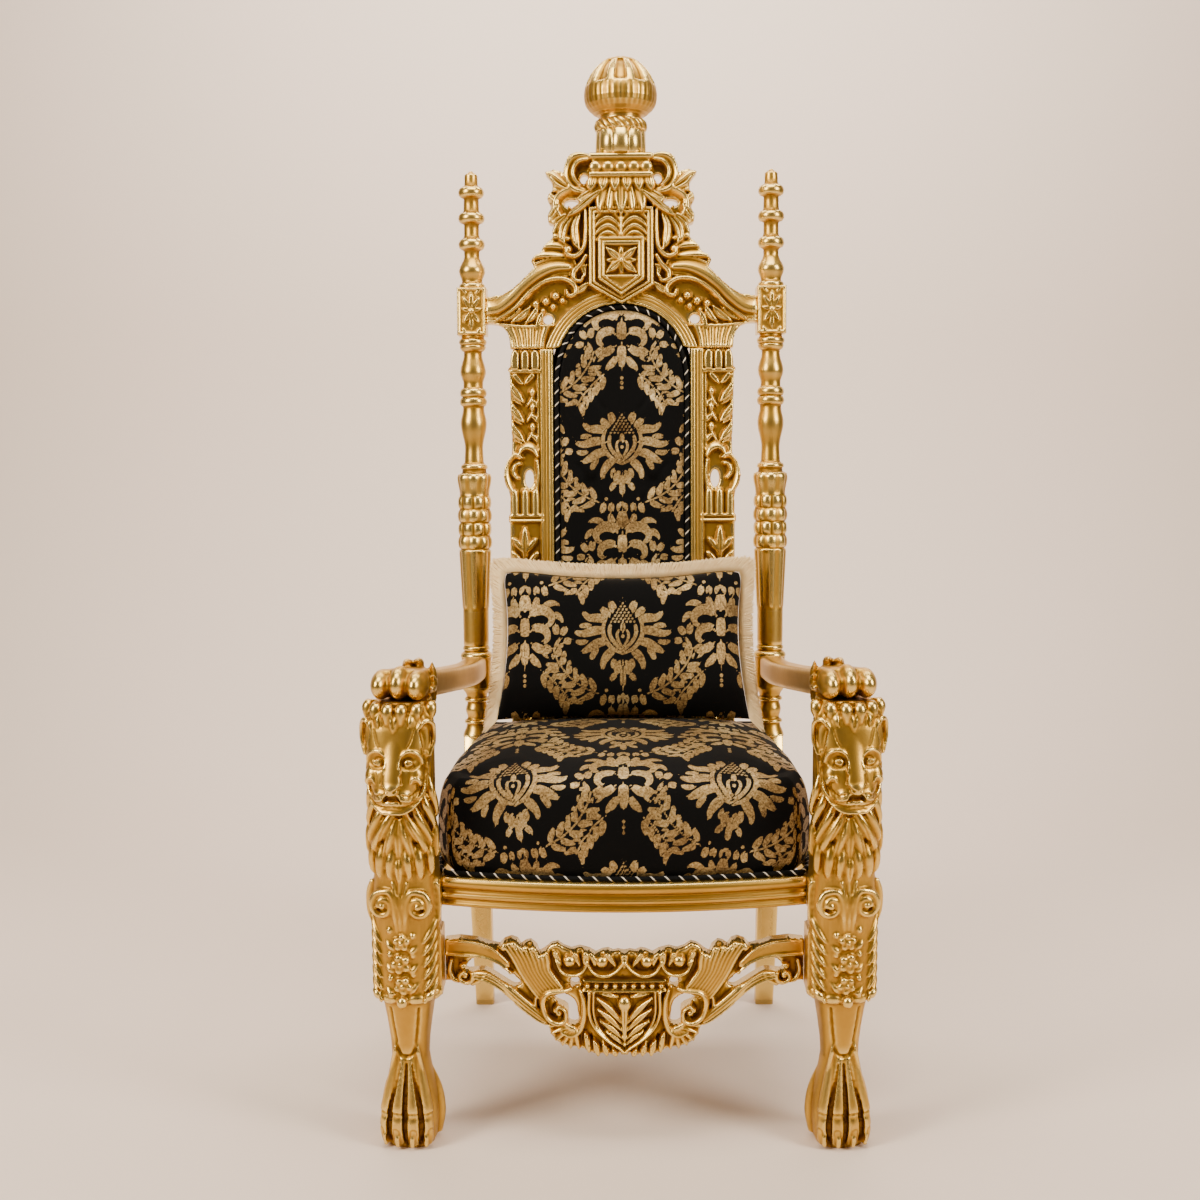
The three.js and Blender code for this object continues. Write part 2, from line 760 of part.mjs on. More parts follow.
function pillow() {
  const [across, upright] = [8, 6];
  const points = [];
  const seen = new Map();
  const faces = [];
  const vertex = (i, j, side) => {
    const u = -1 + 2 * i / across;
    const v = -1 + 2 * j / upright;
    const swell = ((1 - u ** 4) * (1 - v ** 4)) ** 0.55;
    const key = swell < 1e-9 ? `${i}.${j}` : `${i}.${j}.${side}`;
    if (!seen.has(key)) {
      const [x, z] = pillowEdge(u, v);
      seen.set(key, points.length);
      points.push([x, side * swell * pillowThick / 2, z]);
    }
    return seen.get(key);
  };
  for (const side of [-1, 1]) {
    for (let i = 0; i < across; i += 1) {
      for (let j = 0; j < upright; j += 1) {
        const a = vertex(i, j, side);
        const b = vertex(i + 1, j, side);
        const c = vertex(i + 1, j + 1, side);
        const d = vertex(i, j + 1, side);
        const pair = [[a, b, c], [a, c, d]];
        faces.push(...(side < 0 ? pair : pair.map(([p, q, r]) => [p, r, q])));
      }
    }
  }
  return tilted(outward({ points, faces }));
}

function pillowFringe() {
  const inner = [];
  const outer = [];
  const steps = 6;
  const trace = (u, v, outX, outZ) => {
    const [x, z] = pillowEdge(u, v);
    inner.push([x + Math.sign(outX) * gap, z + Math.sign(outZ) * gap]);
    outer.push([x + outX * fringeWidth, z + outZ * fringeWidth]);
  };
  for (let i = 0; i < steps; i += 1) {
    trace(-1, -1 + 2 * i / steps, -1, i === 0 ? -0.25 : 0);
  }
  trace(-1, 1, -0.75, 0.75);
  for (let i = 1; i < steps; i += 1) {
    trace(-1 + 2 * i / steps, 1, 0, 1);
  }
  trace(1, 1, 0.75, 0.75);
  for (let i = steps - 1; i >= 0; i -= 1) {
    trace(1, -1 + 2 * i / steps, 1, i === 0 ? -0.25 : 0);
  }
  return tilted(plate([...outer, ...inner.reverse()], [], -5, 5));
}

// ---- the throne ----

const finishes = {
  gold: { color: 0xb78a3e, roughness: 0.36, metalness: 0.9 },
  goldPlain: { color: 0x8a6430, roughness: 0.5, metalness: 0.8 },
  damask: { color: 0x14110f, roughness: 0.85, metalness: 0 },
  piping: { color: 0x1c1a18, roughness: 0.7, metalness: 0 },
  fringe: { color: 0xe4d8bd, roughness: 0.9, metalness: 0 },
  board: { color: 0x241d17, roughness: 0.8, metalness: 0 },
};

const leftColumn = lionColumn();
const leftArm = arm();
const leftPost = rearPost();
const leftStile = backStile();
const leftRail = sideRail();

const pieces = [
  ['front_leg_left', leftColumn, 'gold'],
  ['front_leg_right', mirrored(leftColumn), 'gold'],
  ['arm_left', leftArm, 'gold'],
  ['arm_right', mirrored(leftArm), 'gold'],
  ['rear_post_left', leftPost, 'gold'],
  ['rear_post_right', mirrored(leftPost), 'gold'],
  ['back_stile_left', leftStile, 'gold'],
  ['back_stile_right', mirrored(leftStile), 'gold'],
  ['back_bottom_rail', backBottomRail(), 'goldPlain'],
  ['crest', crest(), 'gold'],
  ['crown_finial', crownFinial(), 'gold'],
  ['front_seat_rail', frontRail(), 'gold'],
  ['side_seat_rail_left', leftRail, 'gold'],
  ['side_seat_rail_right', mirrored(leftRail), 'gold'],
  ['rear_seat_rail', rearRail(), 'gold'],
  ['front_apron', frontApron(), 'gold'],
  ['seat_board', seatBoard(), 'board'],
  ['seat_upholstery', seatUpholstery(), 'damask'],
  ['seat_piping', seatPiping(), 'piping'],
  ['back_upholstery', backUpholstery(), 'damask'],
  ['back_piping', backPiping(), 'piping'],
  ['outside_back_panel', outsideBack(), 'damask'],
  ['lumbar_pillow', pillow(), 'damask'],
  ['pillow_fringe', pillowFringe(), 'fringe'],
];

// The origin is the middle of the footprint, on the floor.
const bounds = new THREE.Box3();
for (const [, body] of pieces) {
  for (const point of body.points) {
    bounds.expandByPoint(new THREE.Vector3(...point));
  }
}
const middle = bounds.getCenter(new THREE.Vector3());

const throne = new THREE.Group();
throne.name = 'throne';
for (const [name, body, finish] of pieces) {
  const geometry = new THREE.BufferGeometry();
  const values = body.points.flatMap(([x, y, z]) => [x - middle.x, y - middle.y, z - bounds.min.z]);
  geometry.setAttribute('position', new THREE.Float32BufferAttribute(values, 3));
  geometry.setIndex(body.faces.flat());
  geometry.computeVertexNormals();
  const mesh = new THREE.Mesh(geometry, new THREE.MeshStandardMaterial(finishes[finish]));
  mesh.name = name;
  throne.add(mesh);
}

export default throne;
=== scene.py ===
import json
import math

import bpy
import numpy as np
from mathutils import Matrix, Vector

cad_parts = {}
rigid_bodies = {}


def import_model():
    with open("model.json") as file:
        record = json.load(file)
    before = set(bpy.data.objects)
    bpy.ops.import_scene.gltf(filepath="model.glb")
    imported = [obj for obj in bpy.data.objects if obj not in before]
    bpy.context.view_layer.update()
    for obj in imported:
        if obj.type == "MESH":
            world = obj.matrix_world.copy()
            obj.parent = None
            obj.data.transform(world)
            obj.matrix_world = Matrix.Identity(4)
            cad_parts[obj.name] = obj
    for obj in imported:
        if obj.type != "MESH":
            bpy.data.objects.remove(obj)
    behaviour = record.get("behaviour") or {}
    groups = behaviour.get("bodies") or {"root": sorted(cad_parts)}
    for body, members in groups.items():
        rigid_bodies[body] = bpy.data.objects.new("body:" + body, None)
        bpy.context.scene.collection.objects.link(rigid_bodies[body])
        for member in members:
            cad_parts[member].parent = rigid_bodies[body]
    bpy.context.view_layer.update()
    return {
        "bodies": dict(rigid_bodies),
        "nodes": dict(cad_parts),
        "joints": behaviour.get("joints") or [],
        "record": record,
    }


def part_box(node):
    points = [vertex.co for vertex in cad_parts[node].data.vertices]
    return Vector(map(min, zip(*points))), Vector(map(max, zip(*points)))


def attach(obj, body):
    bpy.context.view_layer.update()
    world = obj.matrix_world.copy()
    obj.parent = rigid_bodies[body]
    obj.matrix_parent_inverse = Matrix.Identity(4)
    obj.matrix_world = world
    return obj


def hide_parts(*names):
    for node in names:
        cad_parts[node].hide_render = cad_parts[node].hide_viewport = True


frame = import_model()
dice = np.random.default_rng(11)

# Everything is laid out in millimetres with y = 0 at the front of the paws, then moved to the frame.
shared = {
    "railFront": 518.0,  # front face of the rear seat rail
    "leanY": 540.0,  # the line that the back leans about
    "leanZ": 470.0,
    "lean": math.radians(3.5),
    "innerX": 295.0,  # half the clear width between the columns
    "bow": 40.0,  # how far the front rail bows out
    "frameFront": -14.0,
    "frameBack": 12.0,
    "jointZ": 830.0,  # where the crest meets the stiles
    "archHalf": 128.0,
    "archSpring": 762.0,
    "archRise": 150.0,
    "archPower": 2.15,  # 2 is a true ellipse
    "mm": 0.001,
}
shared["shiftY"] = shared["railFront"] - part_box("rear_seat_rail")[0][1] * 1000.0


def leaned(points):
    x, y, z = points[:, 0], points[:, 1], points[:, 2]
    c, s = math.cos(shared["lean"]), math.sin(shared["lean"])
    return np.stack([x, shared["leanY"] + y * c + z * s, shared["leanZ"] - y * s + z * c], 1)


def bowAt(x):
    return -shared["bow"] * (1.0 - (x / shared["innerX"]) ** 2)


def bowed(points):
    out = points.copy()
    out[:, 1] += bowAt(points[:, 0])
    return out


def makePiece(name, points, faces, material, nodes, values=None, smooth=True, keep=1.0):
    mesh = bpy.data.meshes.new(name)
    metres = (points - np.array([0.0, shared["shiftY"], 0.0])) * shared["mm"]
    mesh.from_pydata(metres.tolist(), [], faces if isinstance(faces, list) else faces.tolist())
    for key, value in (values or {}).items():
        layer = mesh.attributes.new(key, "FLOAT", "POINT")
        layer.data.foreach_set("value", np.ascontiguousarray(value, dtype=np.float32))
    mesh.validate()
    mesh.update()
    if smooth:
        mesh.shade_smooth()
    else:
        mesh.shade_flat()
    piece = bpy.data.objects.new(name, mesh)
    bpy.context.scene.collection.objects.link(piece)
    mesh.materials.append(material)
    if keep < 1.0:
        piece.modifiers.new("thinned", "DECIMATE").ratio = keep
    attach(piece, "root")
    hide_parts(*nodes)
    return piece


def mergeParts(parts):
    points, faces, start = [], [], 0
    for p, f in parts:
        points.append(p)
        faces.extend((np.asarray(q) + start).tolist() for q in f)
        start += len(p)
    return np.concatenate(points), faces


def mirroredPart(part):
    points, faces = part
    return points * np.array([-1.0, 1.0, 1.0]), [list(reversed(f)) for f in faces]


# Points of any width, joined by a smooth curve through all of them.
def smoothPath(points, steps=8):
    p = np.asarray(points, dtype=float)
    if len(p) < 3:
        t = np.linspace(0.0, 1.0, steps + 1)[:, None]
        return p[0] + (p[-1] - p[0]) * t
    ends = np.concatenate([[2 * p[0] - p[1]], p, [2 * p[-1] - p[-2]]])
    t = (np.arange(steps) / steps)[:, None]
    out = []
    for i in range(len(p) - 1):
        a, b, c, d = ends[i : i + 4]
        out.append(
            0.5 * (2 * b + (c - a) * t + (2 * a - 5 * b + 4 * c - d) * t**2 + (3 * b - a - 3 * c + d) * t**3)
        )
    return np.concatenate(out + [p[-1:]])


# Best (width - distance) to a path of [x, z, width], with the place along and across it.
def strokeField(x, z, path):
    best = np.full(x.shape, -1e9)
    along = np.zeros(x.shape)
    across = np.zeros(x.shape)
    count = len(path) - 1
    for i in range(count):
        (ax, az, aw), (bx, bz, bw) = path[i], path[i + 1]
        dx, dz = bx - ax, bz - az
        length = dx * dx + dz * dz + 1e-9
        t = np.clip(((x - ax) * dx + (z - az) * dz) / length, 0.0, 1.0)
        ex, ez = x - ax - dx * t, z - az - dz * t
        distance = np.sqrt(ex * ex + ez * ez)
        width = aw + (bw - aw) * t
        value = width - distance
        hit = value > best
        best = np.where(hit, value, best)
        along = np.where(hit, (i + t) / count, along)
        side = np.sign(dx * ez - dz * ex)
        across = np.where(hit, side * distance / np.maximum(width, 0.05), across)
    return best, along, across


# A height canvas over a grid; x runs along columns and z along rows.
class Relief:
    def __init__(self, x0, x1, z0, z1, step):
        self.xs = np.arange(round((x1 - x0) / step) + 1) * step + x0
        self.zs = np.arange(round((z1 - z0) / step) + 1) * step + z0
        self.x, self.z = np.meshgrid(self.xs, self.zs)
        self.h = np.zeros(self.x.shape)

    def window(self, low, high):
        i0, i1 = np.searchsorted(self.zs, low[1]), np.searchsorted(self.zs, high[1])
        j0, j1 = np.searchsorted(self.xs, low[0]), np.searchsorted(self.xs, high[0])
        return slice(max(0, i0 - 1), i1 + 1), slice(max(0, j0 - 1), j1 + 1)

    def stroke(self, points, height, kind="round", base=0.0, add=False, steps=8):
        path = smoothPath(points, steps)
        path[:, 2] = np.maximum(path[:, 2], 0.05)
        reach = path[:, 2].max() + 2.0
        area = self.window(path[:, :2].min(0) - reach, path[:, :2].max(0) + reach)
        x, z = self.x[area], self.z[area]
        if x.size == 0:
            return
        inside, along, across = strokeField(x, z, path)
        q = np.clip(np.abs(across), 0.0, 1.0)
        dome = np.sqrt(np.maximum(0.0, 1.0 - q * q))
        if kind == "round":
            shape = dome
        elif kind == "leaf":
            shape = dome * (1.0 - 0.42 * np.exp(-((q / 0.2) ** 2)) * (1.0 - along) ** 0.4)
        elif kind == "cup":
            shape = dome ** 0.5 * (0.55 + 0.45 * q * q)
        elif kind == "flat":
            shape = np.clip((1.0 - q) / 0.25, 0.0, 1.0) ** 0.7
        elif kind == "reeds":
            shape = np.where(q < 1, 0.55 + 0.45 * np.abs(np.sin(across * 1.5 * np.pi)) ** 0.6, 0.0)
        elif kind == "tilt":
            shape = dome * (0.62 + 0.38 * across)
        else:
            shape = np.clip(1.0 - q, 0.0, 1.0)
        value = np.where(inside > 0, height * shape, 0.0)
        if add:
            self.h[area] += value
        else:
            self.h[area] = np.maximum(self.h[area], np.where(inside > 0, base + value, 0.0))

    def groove(self, points, height, kind="round"):
        self.stroke(points, height, kind, 0.0, True)

    def bead(self, x, z, radius, height, base=0.0, squash=1.0):
        area = self.window((x - radius - 2, z - radius - 2), (x + radius + 2, z + radius + 2))
        d = np.sqrt((self.x[area] - x) ** 2 + ((self.z[area] - z) / squash) ** 2) / radius
        value = np.where(d < 1, base + height * np.sqrt(np.maximum(0, 1 - d * d)), 0.0)
        self.h[area] = np.maximum(self.h[area], value)

    def sample(self, x, z):
        step = self.xs[1] - self.xs[0]
        fx = np.clip((x - self.xs[0]) / step, 0, len(self.xs) - 1.001)
        fz = np.clip((z - self.zs[0]) / step, 0, len(self.zs) - 1.001)
        j, i = fx.astype(int), fz.astype(int)
        tx, tz = fx - j, fz - i
        h = self.h
        top = h[i + 1, j] * (1 - tx) + h[i + 1, j + 1] * tx
        low = h[i, j] * (1 - tx) + h[i, j + 1] * tx
        inside = (x >= self.xs[0]) & (x <= self.xs[-1]) & (z >= self.zs[0]) & (z <= self.zs[-1])
        return np.where(inside, low * (1 - tz) + top * tz, 0.0)


# Distance to the nearest edge, positive inside the first loop and outside the rest.
def outlineDistance(x, z, loops):
    near = np.full(x.shape, 1e9)
    inside = np.zeros(x.shape, dtype=bool)
    for loop in loops:
        ring = np.asarray(loop, dtype=float)
        for (ax, az), (bx, bz) in zip(ring, np.roll(ring, -1, 0)):
            dx, dz = bx - ax, bz - az
            t = np.clip(((x - ax) * dx + (z - az) * dz) / (dx * dx + dz * dz + 1e-9), 0, 1)
            near = np.minimum(near, (x - ax - dx * t) ** 2 + (z - az - dz * t) ** 2)
            if dz != 0:
                crossing = ((az > z) != (bz > z)) & (x < ax + dx * (z - az) / dz)
                inside ^= crossing
    return np.where(inside, 1.0, -1.0) * np.sqrt(near)


# Cells of a grid inside an outline, with the rim pulled onto the outline itself.
def trimmedGrid(x, z, field):
    step = x[0, 1] - x[0, 0]
    centre = (field[:-1, :-1] + field[1:, :-1] + field[:-1, 1:] + field[1:, 1:]) / 4
    kept = centre > 0
    rows, cols = x.shape
    around = np.zeros((rows, cols), dtype=int)
    for a in (0, 1):
        for b in (0, 1):
            around[a : rows - 1 + a, b : cols - 1 + b] += kept
    rim = (around > 0) & (around < 4)
    gz, gx = np.gradient(field, step)
    size = np.sqrt(gx * gx + gz * gz) + 1e-6
    move = np.where(rim, np.clip(-field, -step, step), 0.0)
    px, pz = x + move * gx / size, z + move * gz / size
    ids = -np.ones((rows, cols), dtype=int)
    used = around > 0
    ids[used] = np.arange(used.sum())
    i, j = np.nonzero(kept)
    cells = np.stack([ids[i, j], ids[i, j + 1], ids[i + 1, j + 1], ids[i + 1, j]], 1)
    return px[used], pz[used], cells, used


def rimEdges(cells):
    edges = np.concatenate([cells[:, [k, (k + 1) % 4]] for k in range(4)])
    top = edges.max() + 1
    code = edges[:, 0] * top + edges[:, 1]
    back = edges[:, 1] * top + edges[:, 0]
    return edges[~np.isin(code, back)]


# The corners round a plain grid, in order.
def rimLoop(cells):
    following = dict(rimEdges(cells).tolist())
    loop = [next(iter(following))]
    while following[loop[-1]] != loop[0]:
        loop.append(following[loop[-1]])
    return loop


# A carved board: relief on its front, rounded arrises and a plain back.
def reliefPlate(relief, loops, front, back, edge=3.0, whole=True, under=None):
    if whole:
        x = np.concatenate([-relief.x[:, :0:-1], relief.x], 1)
        z = np.concatenate([relief.z[:, :0:-1], relief.z], 1)
        h = np.concatenate([relief.h[:, :0:-1], relief.h], 1)
    else:
        x, z, h = relief.x, relief.z, relief.h
    field = outlineDistance(x, z, loops)
    px, pz, cells, used = trimmedGrid(x, z, field)
    depth = np.clip(field[used], 0.0, edge)
    drop = edge - np.sqrt(np.maximum(0.0, edge * edge - (edge - depth) ** 2))
    face = np.stack([px, front - h[used] + drop, pz], 1)
    rear = np.stack([px, np.full(px.shape, back) if under is None else under(px, pz), pz], 1)
    count = len(px)
    rim = rimEdges(cells)
    walls = np.stack([rim[:, 1], rim[:, 0], rim[:, 0] + count, rim[:, 1] + count], 1)
    faces = np.concatenate([cells, cells[:, ::-1] + count, walls])
    return np.concatenate([face, rear]), faces.tolist()


# A skin over an array of rings, shaped (levels, points, 3), capped by a fan at each end.
def loftRings(rings, closedEnds=True):
    rings = np.asarray(rings)
    levels, count, _ = rings.shape
    points = rings.reshape(-1, 3)
    j = np.arange(count)
    k = (j + 1) % count
    faces = []
    for i in range(levels - 1):
        faces.append(np.stack([i * count + j, i * count + k, (i + 1) * count + k, (i + 1) * count + j], 1))
    faces = np.concatenate(faces).tolist()
    if closedEnds:
        middle = np.stack([rings[0].mean(0), rings[-1].mean(0)])
        points = np.concatenate([points, middle])
        start, last = levels * count, (levels - 1) * count
        faces += [[int(b), int(a), start] for a, b in zip(j, k)]
        faces += [[int(last + a), int(last + b), start + 1] for a, b in zip(j, k)]
    return points, faces


def ovalRing(count, x, y, z, halfX, halfY, power=2.0):
    turn = (np.arange(count) + 0.5) * 2 * np.pi / count
    c, s = np.cos(turn), np.sin(turn)
    px = x + halfX * np.sign(c) * np.abs(c) ** (2 / power)
    py = y + halfY * np.sign(s) * np.abs(s) ** (2 / power)
    return np.stack([px, py, np.full(count, float(z))], 1)


def ballPart(x, y, z, rx, ry, rz, sides=32, levels=20):
    turns = np.linspace(0.02, np.pi - 0.02, levels)
    rings = [ovalRing(sides, x, y, z - rz * math.cos(t), rx * math.sin(t), ry * math.sin(t)) for t in turns]
    return loftRings(rings)


# A round rib along [x, y, z, radius] stations.
def ribPart(stations, sides=14, across=(0.0, 1.0, 0.0), flat=1.0, steps=6):
    path = smoothPath(stations, steps)
    place = path[:, :3]
    along = np.gradient(place, axis=0)
    along /= np.linalg.norm(along, axis=1)[:, None] + 1e-9
    side = np.cross(along, np.array(across))
    side /= np.linalg.norm(side, axis=1)[:, None] + 1e-9
    up = np.cross(side, along)
    turn = np.arange(sides) * 2 * np.pi / sides
    radius = np.maximum(path[:, 3], 0.15)[:, None, None]
    ring = side[:, None] * np.cos(turn)[None, :, None] + up[:, None] * np.sin(turn)[None, :, None] * flat
    points, faces = loftRings(place[:, None] + ring * radius)
    return facingOut(points, faces)


def facingOut(points, faces):
    total = 0.0
    for f in faces:
        a = points[f[0]]
        for m in range(1, len(f) - 1):
            total += float(np.dot(a, np.cross(points[f[m]], points[f[m + 1]])))
    if total < 0:
        faces = [list(reversed(f)) for f in faces]
    return points, faces


# Points on the side that is asked for, 1 as drawn and -1 mirrored.
def flip(points, side):
    return [[side * x, *rest] for x, *rest in points]


# A box with softened arrises.
def boxPart(x0, x1, y0, y1, z0, z1, bevel=1.2):
    rings = []
    for z, inset in ((z0, bevel), (z0 + bevel, 0.0), (z1 - bevel, 0.0), (z1, bevel)):
        a, b, c, d = x0 + inset, x1 - inset, y0 + inset, y1 - inset
        e = bevel * 0.6
        rings.append([
            [a + e, c, z], [b - e, c, z], [b, c + e, z], [b, d - e, z],
            [b - e, d, z], [a + e, d, z], [a, d - e, z], [a, c + e, z],
        ])
    return loftRings(np.array(rings, dtype=float))


# [z, radius] points from moulding steps: line, ease, bead and cove.
def turnedProfile(steps, spacing=2.2):
    z, r = steps[0]
    out = [[z, r]]
    for kind, z1, r1, *extra in steps[1:]:
        count = max(2, int(math.hypot(z1 - z, r1 - r) / spacing) + (4 if kind != "line" else 0))
        for t in np.linspace(0, 1, count + 1)[1:]:
            if kind == "line":
                value = r + (r1 - r) * t
            elif kind == "ease":
                value = r + (r1 - r) * (0.5 - 0.5 * math.cos(math.pi * t))
            else:
                bulge = extra[0] * math.sqrt(max(0.0, 1 - (2 * t - 1) ** 2))
                value = r + (r1 - r) * t + (bulge if kind == "bead" else -bulge)
            out.append([z + (z1 - z) * t, value])
        z, r = z1, r1
    return np.array(out)


def lathePart(profile, sides, x, y, shape=None):
    turn = np.arange(sides) * 2 * np.pi / sides
    z = profile[:, 0][:, None] + 0 * turn[None, :]
    r = profile[:, 1][:, None] + 0 * turn[None, :]
    if shape is not None:
        r = shape(turn[None, :] + 0 * z, z, r)
    rings = np.stack([x + r * np.cos(turn), y + r * np.sin(turn), z], 2)
    return loftRings(rings)


# One skin round overlapping solids, evenly meshed.
def sculpted(parts, voxel, rounds=2):
    points, faces = mergeParts(parts)
    mesh = bpy.data.meshes.new("sculpt")
    mesh.from_pydata((points * shared["mm"]).tolist(), [], faces)
    thing = bpy.data.objects.new("sculpt", mesh)
    bpy.context.scene.collection.objects.link(thing)
    remesh = thing.modifiers.new("remesh", "REMESH")
    remesh.mode = "VOXEL"
    remesh.voxel_size = voxel * shared["mm"]
    soften = thing.modifiers.new("soften", "SMOOTH")
    soften.factor = 0.5
    soften.iterations = rounds
    evaluated = thing.evaluated_get(bpy.context.evaluated_depsgraph_get())
    made = bpy.data.meshes.new_from_object(evaluated)
    count = len(made.vertices)
    points = np.empty(count * 3, dtype=np.float32)
    made.vertices.foreach_get("co", points)
    normals = np.empty(count * 3, dtype=np.float32)
    made.vertices.foreach_get("normal", normals)
    faces = [list(p.vertices) for p in made.polygons]
    bpy.data.objects.remove(thing)
    bpy.data.meshes.remove(made)
    return points.reshape(-1, 3).astype(float) * 1000, normals.reshape(-1, 3).astype(float), faces


def edgeList(faces):
    pairs = []
    for size in {len(f) for f in faces}:
        ring = np.array([f for f in faces if len(f) == size])
        pairs.append(np.concatenate([ring[:, [k, (k + 1) % size]] for k in range(size)]))
    pairs = np.sort(np.concatenate(pairs), 1)
    return np.unique(pairs, axis=0)


def vertexNormals(points, faces):
    normals = np.zeros(points.shape)
    for size in {len(f) for f in faces}:
        ring = np.array([f for f in faces if len(f) == size])
        a = points[ring[:, 0]]
        flat = np.cross(points[ring[:, 1]] - a, points[ring[:, 2]] - a)
        if size == 4:
            flat = flat + np.cross(points[ring[:, 2]] - a, points[ring[:, 3]] - a)
        for k in range(size):
            np.add.at(normals, ring[:, k], flat)
    return normals / (np.linalg.norm(normals, axis=1)[:, None] + 1e-9)


# How far each point lies in a hollow, 0 to 1, with raised edges below 0.5; the gold paints its shade in the
# hollows and its highlight on the raised edges from this.
def shadeFromHollows(points, faces, reach=14, scale=1.6):
    edges = edgeList(faces)
    a, b = edges[:, 0], edges[:, 1]
    count = np.bincount(np.concatenate([a, b]), minlength=len(points))[:, None] + 1e-9
    soft = points.copy()
    for _ in range(reach):
        total = np.zeros(points.shape)
        np.add.at(total, a, soft[b])
        np.add.at(total, b, soft[a])
        soft = 0.3 * soft + 0.7 * total / count
    depth = ((soft - points) * vertexNormals(points, faces)).sum(1)
    return np.clip(0.5 + depth / (2 * scale), 0.0, 1.0)


def linear(code):
    out = []
    for k in (1, 3, 5):
        c = int(code[k : k + 2], 16) / 255
        out.append(c / 12.92 if c <= 0.04045 else ((c + 0.055) / 1.055) ** 2.4)
    return (*out, 1.0)


# Stops are places from 0 to 1 with a hex colour or a grey.
def fillRamp(ramp, stops):
    while len(ramp.elements) < len(stops):
        ramp.elements.new(0.5)
    for element, (at, colour) in zip(ramp.elements, stops):
        element.position = at
        element.color = linear(colour) if isinstance(colour, str) else (colour, colour, colour, 1)


# Settings go to an input, a property or a ramp; links name the input that each source feeds.
def addNode(tree, kind, settings=None, links=None, out=0):
    node = tree.nodes.new(kind)
    for key, value in (settings or {}).items():
        if key == "stops":
            fillRamp(node.color_ramp, value)
        elif isinstance(key, int) or (key in node.inputs and not hasattr(node, key)):
            node.inputs[key].default_value = value
        else:
            setattr(node, key, value)
    for key, source in (links or {}).items():
        tree.links.new(source, node.inputs[key])
    return node.outputs[out]


def newMaterial(name):
    material = bpy.data.materials.new(name)
    material.use_nodes = True
    tree = material.node_tree
    tree.nodes.clear()
    shader = tree.nodes.new("ShaderNodeBsdfPrincipled")
    output = tree.nodes.new("ShaderNodeOutputMaterial")
    tree.links.new(shader.outputs[0], output.inputs["Surface"])
    return material, tree, shader


# Numbers are set on the shader's sockets and everything else is linked to them.
def setShader(tree, shader, sockets):
    for key, value in sockets.items():
        if isinstance(value, float):
            shader.inputs[key].default_value = value
        else:
            tree.links.new(value, shader.inputs[key])


# How many marks of this size in millimetres a noise draws per metre, as a whole number.
def perMetre(size):
    return float(round(1000 / size))


# Gilded and toned wood: a painted highlight on raised edges, and painted shade together with a brown toning in
# the hollows, which are also duller.
gilding = {
    "cloud": {"Scale": perMetre(111), "Detail": 5.0, "Roughness": 0.6},  # patches of tone
    "grain": {"Scale": perMetre(6.25), "Detail": 3.0, "Roughness": 0.6},  # brush marks, coarser than real to show
    "patchy": 0.35,
    # Colours from raised edge to deep hollow: a painted highlight, the leaf itself, then painted shade with brown
    # toning.
    "tones": [(0.20, "#efcf78"), (0.40, "#cfa447"), (0.54, "#bd9139"), (0.72, "#a77e30"), (0.97, "#7b571e")],
    "dirt": "#7d5518",
    "dirty": 0.14,
    "rough": {"From Min": 0.25, "From Max": 0.8, "To Min": 0.27, "To Max": 0.52},
    "metal": 0.95,
    "bump": {"Strength": 0.18, "Distance": 0.0006},
}


def goldMaterial():
    material, tree, shader = newMaterial("antique gold")
    place = {"Vector": addNode(tree, "ShaderNodeTexCoord", out="Object")}
    hollow = addNode(tree, "ShaderNodeAttribute", {"attribute_name": "hollow"}, out="Fac")
    cloud = addNode(tree, "ShaderNodeTexNoise", gilding["cloud"], place)
    grain = addNode(tree, "ShaderNodeTexNoise", gilding["grain"], place)
    centred = addNode(tree, "ShaderNodeMath", {"operation": "SUBTRACT", 1: 0.5}, {0: cloud})
    patch = {"operation": "MULTIPLY", 1: gilding["patchy"]}
    patches = addNode(tree, "ShaderNodeMath", patch, {0: centred})
    # Painted shade deepens into the hollows and a painted highlight brightens the raised edges, mottled by the
    # patches of tone.
    shadeAndMottle = addNode(tree, "ShaderNodeMath", {"operation": "ADD"}, {0: hollow, 1: patches})
    leaf = addNode(tree, "ShaderNodeValToRGB", {"stops": gilding["tones"]}, {"Fac": shadeAndMottle})
    dirty = {"operation": "MULTIPLY", 1: gilding["dirty"]}
    share = addNode(tree, "ShaderNodeMath", dirty, {0: grain})
    dirt = {"data_type": "RGBA", 7: linear(gilding["dirt"])}
    setShader(tree, shader, {
        "Metallic": gilding["metal"],
        "Base Color": addNode(tree, "ShaderNodeMix", dirt, {0: share, 6: leaf}, out=2),
        "Roughness": addNode(tree, "ShaderNodeMapRange", gilding["rough"], {"Value": shadeAndMottle}),
        "Normal": addNode(tree, "ShaderNodeBump", gilding["bump"], {"Height": grain}),
    })
    return material


# Black velvet that swallows light, with a worn bronze foil pattern that glints a little.
velvet = {
    "fray": {"Scale": perMetre(1.111), "Detail": 3.0, "Roughness": 0.7},  # threads
    "wear": {"Scale": perMetre(3.846), "Detail": 4.0, "Roughness": 0.75},  # flecks of lost foil
    "cloud": {"Scale": perMetre(71.4), "Detail": 3.0, "Roughness": 0.6},  # patches of tone
    "fraying": 1.1,
    "rim": {"From Min": -0.15, "From Max": 0.25, "To Min": 0.0, "To Max": 1.0},
    "lost": [(0.30, 0.25), (0.44, 0.85), (0.60, 1.0)],
    "wearShare": 0.7,
    "cloudShare": 0.5,
    "foil": [(0.36, "#412f1c"), (0.50, "#775d38"), (0.64, "#a68a58"), (0.86, "#dac99b")],
    "pile": "#050505",
    "metal": 0.35,
    "rough": {"To Min": 0.95, "To Max": 0.42},
    "sheen": {"To Min": 0.03, "To Max": 0.0},
    "bump": {"Strength": 0.25, "Distance": 0.0005},
}


